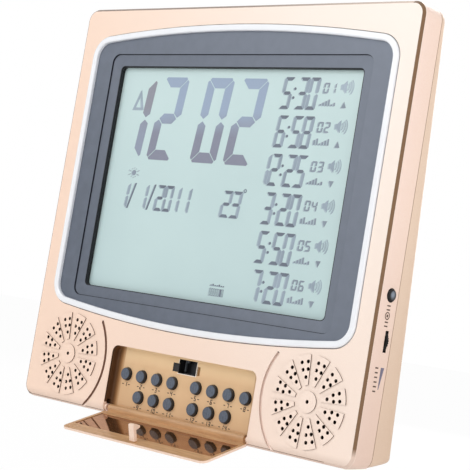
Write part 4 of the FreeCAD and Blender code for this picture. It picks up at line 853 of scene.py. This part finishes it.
def make_key_numbers(brown):
    """A plain number under each key, between two short dashes."""
    bm = bmesh.new()
    width, height, bar, pitch = 1.5, 2.5, 0.44, 2.2
    for number, (x, z) in enumerate(key_places(), start=1):
        low = z - 6.7
        text = str(number)
        left = x - pitch / 2 * len(text) + 0.2
        for dash in (left - 1.9, left + pitch * len(text) + 0.4):
            plate(bm, box(dash, dash + 1.2, low + 1.0, low + 1.42), on_tray, INK)
        for i, digit in enumerate(text):
            figure(bm, digit, left + pitch * i, low, width, height, bar, on_tray, INK, 0.0)
    finish_piece(bm, "key_numbers", "case", "tray_plastic", brown, brown)


def make_side_marks(brown):
    """On the right wall: a square in a ring under the stop button, and a wedge with a scale at the wheel."""
    bm = bmesh.new()
    y, z, half = 8.7, 72.6, 0.65
    ring_plate(bm, disc(y, z, 1.9, 16), disc(y, z, 1.4, 16), on_right_wall, INK)
    plate(bm, box(y - half, y + half, z - half, z + half), on_right_wall, INK)
    for low in (67.4, 69.3, 75.2, 77.1):
        plate(bm, box(y - 1.3, y + 1.3, low, low + 0.6), on_right_wall, INK)
    for i in range(6):
        low, shift = 36.4 + 2.2 * i, 0.1 * i
        plate(bm, box(6.3 - shift, 8.6 - shift, low, low + 0.65), on_right_wall, INK)
    finish_piece(bm, "side_marks", "case", "case_plastic", brown)
    wedge = bmesh.new()
    plate(wedge, [(10.2, 48.1), (12.8, 48.1), (10.6, 37.6), (10.3, 37.6)], on_right_wall, INK)
    finish_piece(wedge, "volume_wedge", "case", "case_plastic",
                 grained("wedge_ink", rgb(112, 108, 128), 0.08, 900, 0.4))


def make_latch_stop(dark):
    """The black stop in the notch left of the latch's hole."""
    bm = bmesh.new()
    notch_deep, thick = 0.8, 0.6
    outline = box(NOTCH_LEFT + 0.1, 0.1 - HOLE_HALF, NOTCH_LOW + 0.1, NOTCH_HIGH - 0.1)
    plate(bm, outline, facing(TRAY_FLOOR_Y + notch_deep), thick)
    finish_piece(bm, "latch_stop", "case", "catch_plastic", dark)


def make_latch_leaf():
    """The grey leaf of the catch, seen through the latch's hole: an upright bar with a short head."""
    bm = bmesh.new()
    leaf_deep, thick = 4.2, 0.8
    for outline in (box(-5.1, -4.2, 28.4, 34.2), box(-4.2, -2.6, 33.0, 34.2)):
        plate(bm, outline, facing(TRAY_FLOOR_Y + leaf_deep), thick)
    finish_piece(bm, "latch_leaf", "case", "catch_plastic",
                 grained("leaf_grey", rgb(74, 78, 82), 0.1, 900, 0.35))


def make_latch_rim():
    """A painted highlight: bright lines beside and under the latch's hole, along its edges."""
    bm = bmesh.new()
    # Painted highlight along the hole's edges, as thin bright plates.
    line, thin, top = 0.4, 0.12, HOLE_HIGH - 1.2
    left, right = -HOLE_HALF - line, HOLE_HALF + line
    for outline in (box(left, right, HOLE_LOW - line, HOLE_LOW), box(HOLE_HALF, right, HOLE_LOW, top),
                    box(left, -HOLE_HALF, NOTCH_HIGH, top)):
        plate(bm, outline, on_tray, thin)
    finish_piece(bm, "latch_edge_highlight", "case", "tray_plastic",
                 grained("edge_highlight_white", rgb(252, 240, 226), 0.02, 900, 0.3))


# ---------------------------------------------------------------- stage, light and camera

def floor_white():
    """A floor that runs into the white background, with the clock's shadow left faintly on it."""
    finish = Finish("floor_white", base_color=(0.94, 0.94, 0.94), roughness=0.8)
    glow_share = 0.965
    seen = finish.node("ShaderNodeLightPath", {}, {}, output="Is Camera Ray")
    glow = finish.node("ShaderNodeEmission", {}, {"Color": (1.0, 1.0, 1.0), "Strength": 1.0})
    lit = Wire(finish, finish.shader.outputs[0])
    mixed = finish.node("ShaderNodeMixShader", {}, {0: seen * glow_share, 1: lit, 2: glow})
    finish.feed(finish.nodes["Material Output"].inputs["Surface"], mixed)
    return finish


def make_stage():
    """The floor, well under the clock."""
    half_size_m, drop = 20, 60
    bm = bmesh.new()
    bmesh.ops.create_grid(bm, x_segments=1, y_segments=1, size=half_size_m)
    bmesh.ops.translate(bm, verts=bm.verts, vec=at(0, 0, -drop))
    mesh = bpy.data.meshes.new("floor")
    bm.to_mesh(mesh)
    bm.free()
    floor = bpy.data.objects.new("floor", mesh)
    bpy.context.scene.collection.objects.link(floor)
    mesh.materials.append(floor_white().material)


def make_world():
    """A plain level of light, and a white background for the camera, for mirrors and through clear pieces."""
    world = bpy.data.worlds.new("studio")
    bpy.context.scene.world = world
    tree = Tree(world)
    tree.nodes.remove(tree.nodes["Background"])
    plain, white = (tree.node("ShaderNodeBackground", {}, {"Color": (1.0, 1.0, 1.0), "Strength": strength})
                    for strength in (0.42, 1.0))
    seen = tree.node("ShaderNodeLightPath", {}, {}, output="Is Camera Ray")
    seen = seen | seen.other("Is Transmission Ray") | seen.other("Is Glossy Ray")
    mixed = tree.node("ShaderNodeMixShader", {}, {0: seen, 1: plain, 2: white})
    tree.feed(tree.nodes["World Output"].inputs["Surface"], mixed)


def lamp(name, place, target, size, power):
    """A soft square lamp that looks at a point of the clock."""
    light = bpy.data.lights.new(name, "AREA")
    light.size = size
    light.energy = power
    holder = bpy.data.objects.new(name, light)
    bpy.context.scene.collection.objects.link(holder)
    holder.location = place
    holder.rotation_euler = (place - target).to_track_quat("Z", "Y").to_euler()
    return holder


def make_lamps():
    """Four lamps round the clock. The one at its side isn't mirrored, or it would whiten the door's panel."""
    middle = at(0, 0, 110)
    lamp("key_lamp", at(-500, -1300, 900), middle, 1.0, 9.4)
    lamp("front_lamp", at(700, -1400, 300), middle, 1.2, 4.1)
    lamp("side_lamp", at(1300, 100, 400), middle, 0.8, 6.4).visible_glossy = False
    lamp("back_lamp", at(-500, 1400, 700), middle, 1.2, 11)


def make_camera():
    """Looks at the clock from the right, a little rolled."""
    camera = bpy.data.objects.new("camera", bpy.data.cameras.new("camera"))
    bpy.context.scene.collection.objects.link(camera)
    camera.data.sensor_width = 36
    camera.data.lens = 112.12
    camera.location = at(518.87, -556.94, 55.87)
    camera.rotation_euler = [math.radians(a) for a in (93.584379, -9.455673, 41.142442)]
    bpy.context.scene.camera = camera


# ---------------------------------------------------------------- the clock

dress_nodes()
make_display()
brown_print = grained("print_ink", rgb(78, 56, 40), 0.15, 900, 0.5)
make_key_numbers(brown_print)
make_side_marks(brown_print)
make_latch_stop(black_plastic("latch_black", 0.6))
make_latch_leaf()
make_latch_rim()
make_stage()
make_world()
make_lamps()
make_camera()
bpy.context.scene.view_settings.view_transform = "Standard"
